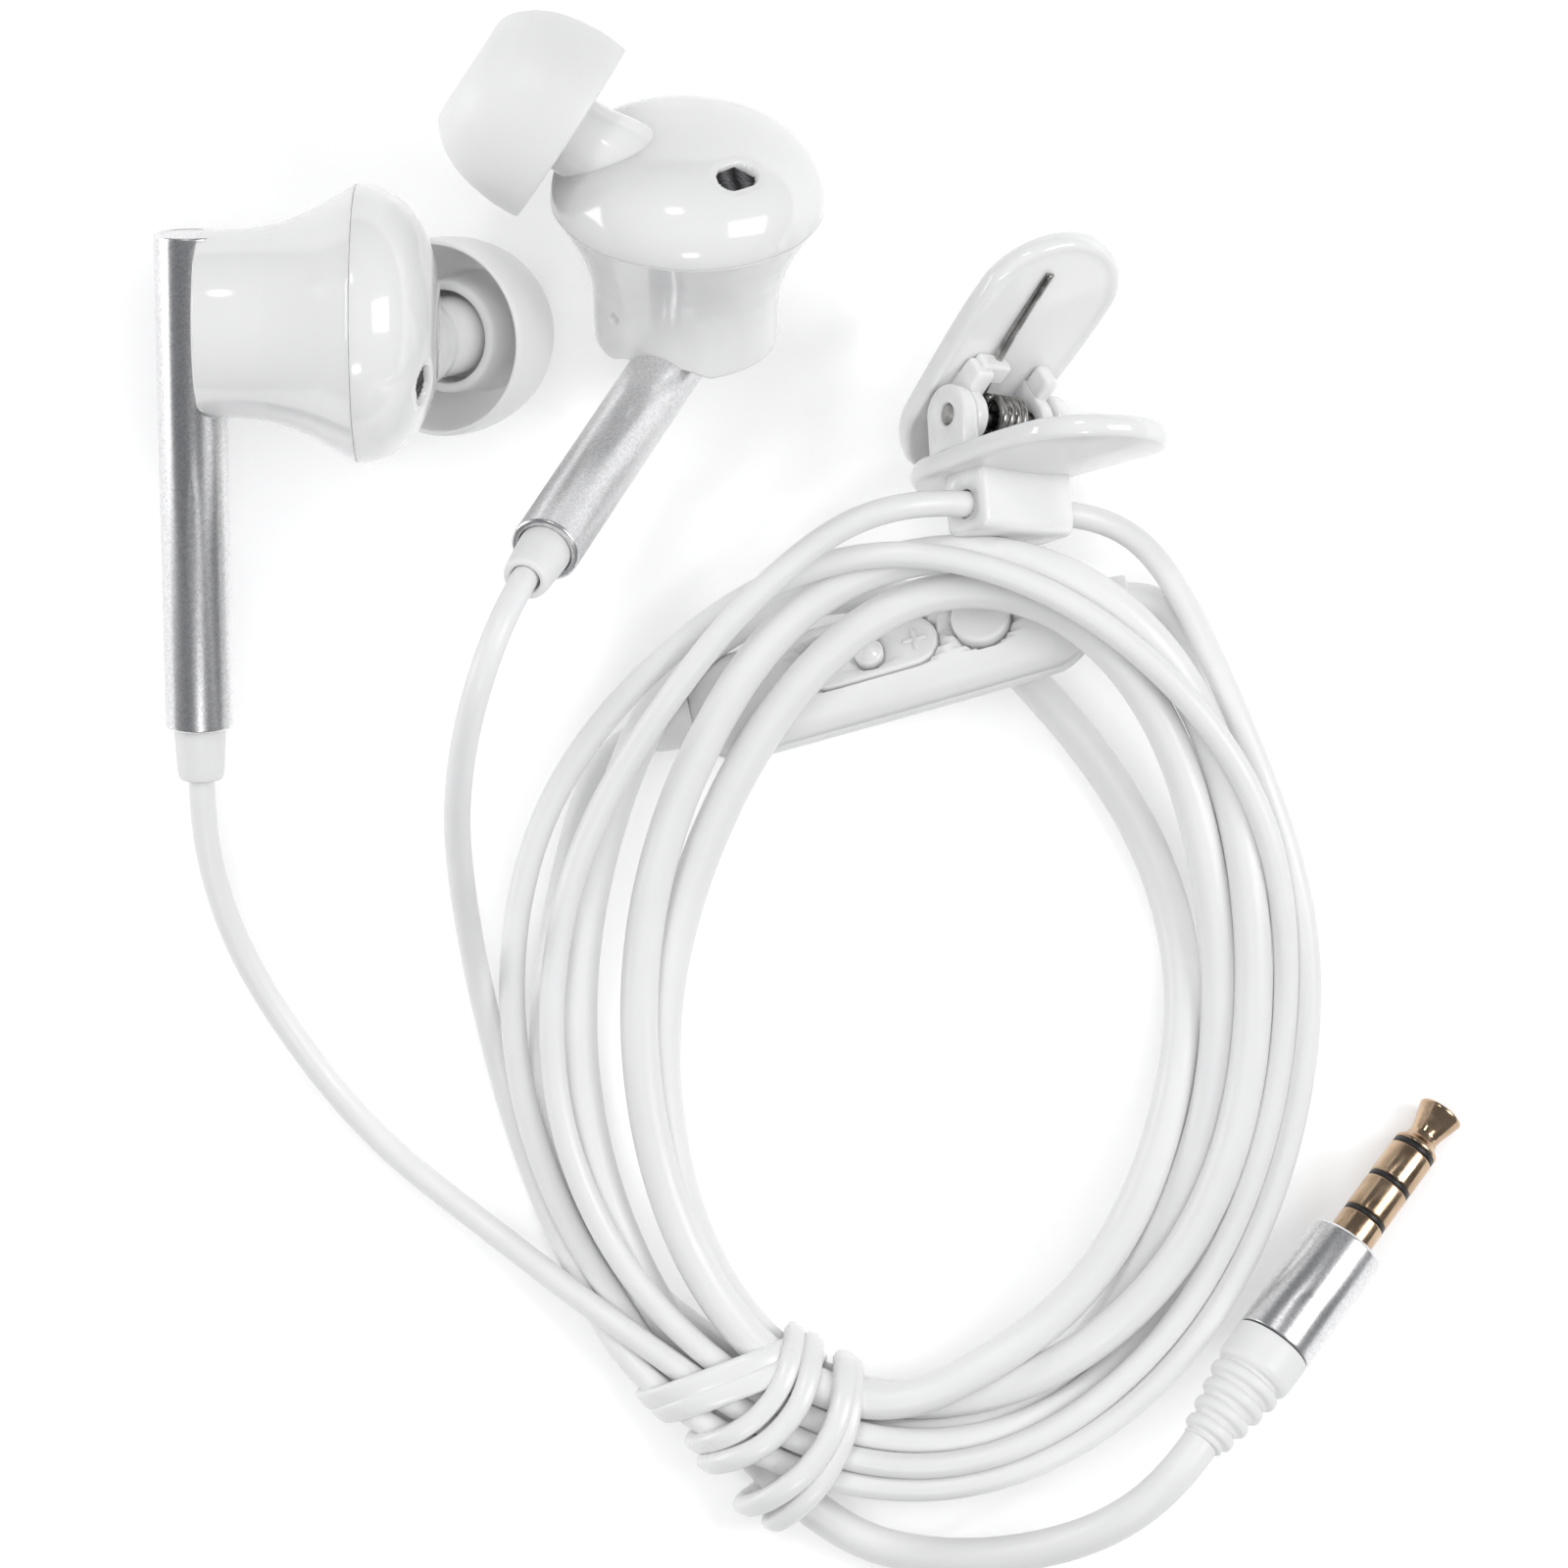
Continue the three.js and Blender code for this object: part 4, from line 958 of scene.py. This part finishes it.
def block_skin(centre, sides, bevel, n, columns=64):
    """A block with soft edges: rings of the superellipse of power n, shrunk near both ends by a
    quarter-circle of the bevel, stacked along the frame's X axis."""
    turn = np.linspace(0, 2 * np.pi, columns, endpoint=False)
    c, s = np.cos(turn), np.sin(turn)
    ring = np.stack([np.sign(c) * np.abs(c) ** (2 / n), np.sign(s) * np.abs(s) ** (2 / n)], -1)
    a = np.linspace(0, np.pi / 2, 6)
    rise = bevel * (1 - np.cos(a))
    ends = np.concatenate([[0], rise, sides[0] - rise[::-1], [sides[0]]])
    inset = np.concatenate([[9], bevel * (1 - np.sin(a)), bevel * (1 - np.sin(a[::-1])), [9]])
    half = np.maximum(np.array(sides[1:]) / 2 - inset[:, None], 0)
    yz = ring[None] * half[:, None]
    x = np.broadcast_to((ends - sides[0] / 2)[:, None, None], (*yz.shape[:2], 1))
    return np.concatenate([x, yz], -1) + centre


def swung(local, angle):
    """Points turned about the pin (the X axis) by an angle in radians."""
    c, s = np.cos(angle), np.sin(angle)
    return np.stack([local[..., 0], c * local[..., 1] - s * local[..., 2],
                     s * local[..., 1] + c * local[..., 2]], -1)


def cord_holder():
    """The block under the jaw: a closed superelliptic ring with a round channel 2.12 mm across for
    the cord, carried along the pin's direction between two rounded ends."""
    turn = np.linspace(0, 2 * np.pi, 72, endpoint=False)
    c, s = np.cos(turn), np.sin(turn)
    outer = np.stack([2.25 * np.sign(c) * np.abs(c) ** 0.35,
                      2.5 * np.sign(s) * np.abs(s) ** 0.35], -1)
    inner = np.stack([1.06 * c, 1.06 * s - 0.35], -1)
    rings = [np.column_stack([np.full(72, x), ring]) for x, ring in (
        (-4.2, inner), (-4.2, outer * 0.9), (-4.05, outer * 0.98), (-3.85, outer), (3.85, outer),
        (4.05, outer * 0.98), (4.2, outer * 0.9), (4.2, inner), (4.1, inner), (-4.1, inner))]
    return looped(np.stack(rings)) + [0, 0.4, -6.25]


jaw_grids = [spoon(0.25, 0.35), ear_post(-4.5, 1.2, 2.2, 3.0), ear_post(4.5, 1.2, 2.2, 3.0),
             cord_holder()]
made_piece("clip_jaw", [stood(grid, clip_stand) for grid in jaw_grids], gloss_white, "gloss_white",
           "clip_lower_jaw")
lever_grids = [spoon(0.2, 0.0), ear_post(-3.1, 1.1, 1.9, 3.1), ear_post(3.1, 1.1, 1.9, 3.1)]
for centre, sides in (([3.0, 1.3, -1.6], [1.6, 4.6, 2.0]), ([1.9, 3.1, -1.9], [2.6, 1.7, 1.5]),
                      ([-3.2, 1.3, -1.6], [1.2, 4.6, 2.0])):
    lever_grids.append(block_skin(centre, sides, 0.3, 7.0))
made_piece("clip_lever_moulding",
           [stood(swung(grid * [1, 1, -1], LEVER_OPENING), clip_stand) for grid in lever_grids],
           gloss_white, "gloss_white", "clip_upper_lever", body="clip_lever")


# -------- clip pin and spring
# A plain steel pin joins the ears. A torsion spring of bright wire is wound round it, with one
# straight leg lying in each moulding, and holds the mouths shut.

spring_steel = finish_of("spring_steel", (0.36, 0.355, 0.35), 0.24, Metallic=1.0)
blended(spring_steel, "Roughness", 900, 0.16, 0.4)
blended(spring_steel, "Base Color", 700, (0.2, 0.195, 0.185), (0.5, 0.49, 0.48), 4.0)
grain(spring_steel, 2400, 0.3, 0.00003)
axle = rounded([[-4.9, 0], [-4.9, 0.66], [-4.82, 0.74], [4.82, 0.74], [4.9, 0.66], [4.9, 0]], 0.08)
made_piece("clip_axle", [spun(axle, clip_stand, "x", 40)], spring_steel, "steel", "clip_pin")
WIRE, COIL_RADIUS, COIL_TURNS, COIL_HALF = 0.68, 1.55, 4, 1.45
sweep = COIL_TURNS * 2 * np.pi + np.pi + LEVER_OPENING
along_coil = np.linspace(0, 1, 200)
coil_angle = -np.pi / 2 - along_coil * sweep
coil_path = np.column_stack([-COIL_HALF + along_coil * 2 * COIL_HALF,
                             COIL_RADIUS * np.cos(coil_angle), COIL_RADIUS * np.sin(coil_angle)])
low_leg = smooth_line([[-COIL_HALF, 10.5, -2.1], [-COIL_HALF, 5, -2.05], [-COIL_HALF, 1.2, -1.62],
                       [-COIL_HALF, 0.2, -1.5]], 0.3)
high_leg = smooth_line([[COIL_HALF, 0.0, 1.5], [COIL_HALF, 1.4, 1.72], [COIL_HALF, 5, 2.3],
                        [COIL_HALF, 11.8, 2.62]], 0.3)
wire_section, sideways = ring_section(WIRE, WIRE, 12, 2.0), (1, 0.001, 0)
coil_skin = carried(np.vstack([low_leg[:-1], coil_path]), wire_section, sideways)
leg_skin = swung(carried(high_leg, wire_section, sideways), LEVER_OPENING)
made_piece("spring_coil", [stood(coil_skin, clip_stand)], spring_steel, "steel", "clip_spring")
made_piece("spring_leg", [stood(leg_skin, clip_stand)], spring_steel, "steel", body="clip_lever")


# -------- plug contacts
# A four-pole 3.5 mm jack, turned and gold plated: a sleeve, two rings and a tip with a waist and a
# flared head, kept apart by thin black insulating rings.

plug_stand = on_table([63.1, -61.8, 5.4], [0.787, -0.617, 0], [0.586, 0.748, -0.31])
gold_plate = finish_of("gold_plate", (0.56, 0.4, 0.26), 0.2, Metallic=1.0, Anisotropic=0.5)
blended(gold_plate, "Base Color", 500, (0.48, 0.34, 0.22), (0.64, 0.47, 0.32), 3.0)
blended(gold_plate, "Roughness", 900, 0.14, 0.28)
grain(gold_plate, 2600, 0.12, 0.00002)
insulator_black = finish_of("insulator_black", (0.015, 0.014, 0.013), 0.38)
grain(insulator_black, 1500, 0.2, 0.00003)
for name, low, high in (("sleeve_contact", -1.6, 2.0), ("ring_2", 2.4, 5.2), ("ring_1", 5.6, 8.4)):
    band = rounded([[low + 0.02, 0], [low + 0.02, 1.68], [low + 0.1, 1.75], [high - 0.1, 1.75],
                    [high - 0.02, 1.68], [high - 0.02, 0]], 0.05)
    made_piece(f"jack_{name}", [spun(band, plug_stand, "y")], gold_plate, "gold", f"plug_{name}")
for name, low, high in (("insulator_1", 2.0, 2.4), ("insulator_2", 5.2, 5.6),
                        ("insulator_3", 8.4, 8.82)):
    band = [[low - 0.02, 0], [low - 0.02, 1.66], [low + 0.05, 1.71], [high - 0.05, 1.71],
            [high + 0.02, 1.66], [high + 0.02, 0]]
    made_piece(f"jack_{name}", [spun(band, plug_stand, "y")], insulator_black, "black",
               f"plug_{name}")
nose = rounded([[8.84, 0], [8.84, 1.74], [9.1, 1.74], [9.6, 1.26], [10.1, 1.16], [10.6, 1.24],
                [12.2, 1.74], [12.38, 1.72], [12.4, 1.6], [12.38, 0]], 0.1)
made_piece("jack_nose", [spun(nose, plug_stand, "y")], gold_plate, "gold", "plug_tip")


# -------- plug shell and boot
# A blasted silver aluminium sleeve over the plug's moulded core, then a white boot: a collar as
# wide as the sleeve and four ribs that taper down to the cord.

sleeve = rounded([[-0.1, 1.86], [-0.1, 2.72], [-0.14, 2.82], [-0.34, 2.95], [-9.55, 2.95],
                  [-9.6, 2.88], [-9.6, 2.4], [-1.3, 2.4], [-1.3, 1.86], [-0.1, 1.86]], 0.07)
made_piece("plug_sleeve", [spun(sleeve, plug_stand, "y", 96)], silver, "aluminium", "plug_shell")
boot = [[-9.7, 0], [-9.7, 2.86], [-9.8, 2.95], [-12.2, 2.93], [-12.6, 2.75], [-12.75, 2.35]]
for rib in range(4):
    y, radius = -12.95 - 1.45 * rib, 2.78 - 0.27 * rib
    boot += [[y, radius - 0.42], [y - 0.22, radius - 0.05], [y - 0.55, radius],
             [y - 0.88, radius - 0.06], [y - 1.1, radius - 0.45], [y - 1.28, radius - 0.5]]
boot += [[-18.7, 1.62], [-18.9, 1.5], [-18.85, 0]]
made_piece("plug_strain_boot", [spun(rounded(boot, 0.16), plug_stand, "y", 80)], satin_white,
           "satin_white", "plug_boot")


# -------- parts inside
# The drivers, the remote's board with its microphone and snap domes, and the plug's moulded core
# stay as they were made for the frame, with a finish of their own.

green_mask = finish_of("green_mask", (0.05, 0.2, 0.09), 0.4)
blended(green_mask, "Base Color", 700, (0.04, 0.17, 0.07), (0.07, 0.25, 0.11))
grain(green_mask, 1500, 0.2, 0.00003)
for finish, nodes in ((green_mask, ["remote_circuit_board"]), (satin_white, ["plug_inner_mould"]),
                      (spring_steel, ["left_driver", "right_driver", "remote_microphone",
                                      "switch_dome_minus", "switch_dome_centre",
                                      "switch_dome_plus", "switch_dome_call"])):
    for node in nodes:
        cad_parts[node].data.materials.clear()
        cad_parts[node].data.materials.append(finish)


# -------- size
# The box round every piece that is shown, the table left out.

low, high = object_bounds()
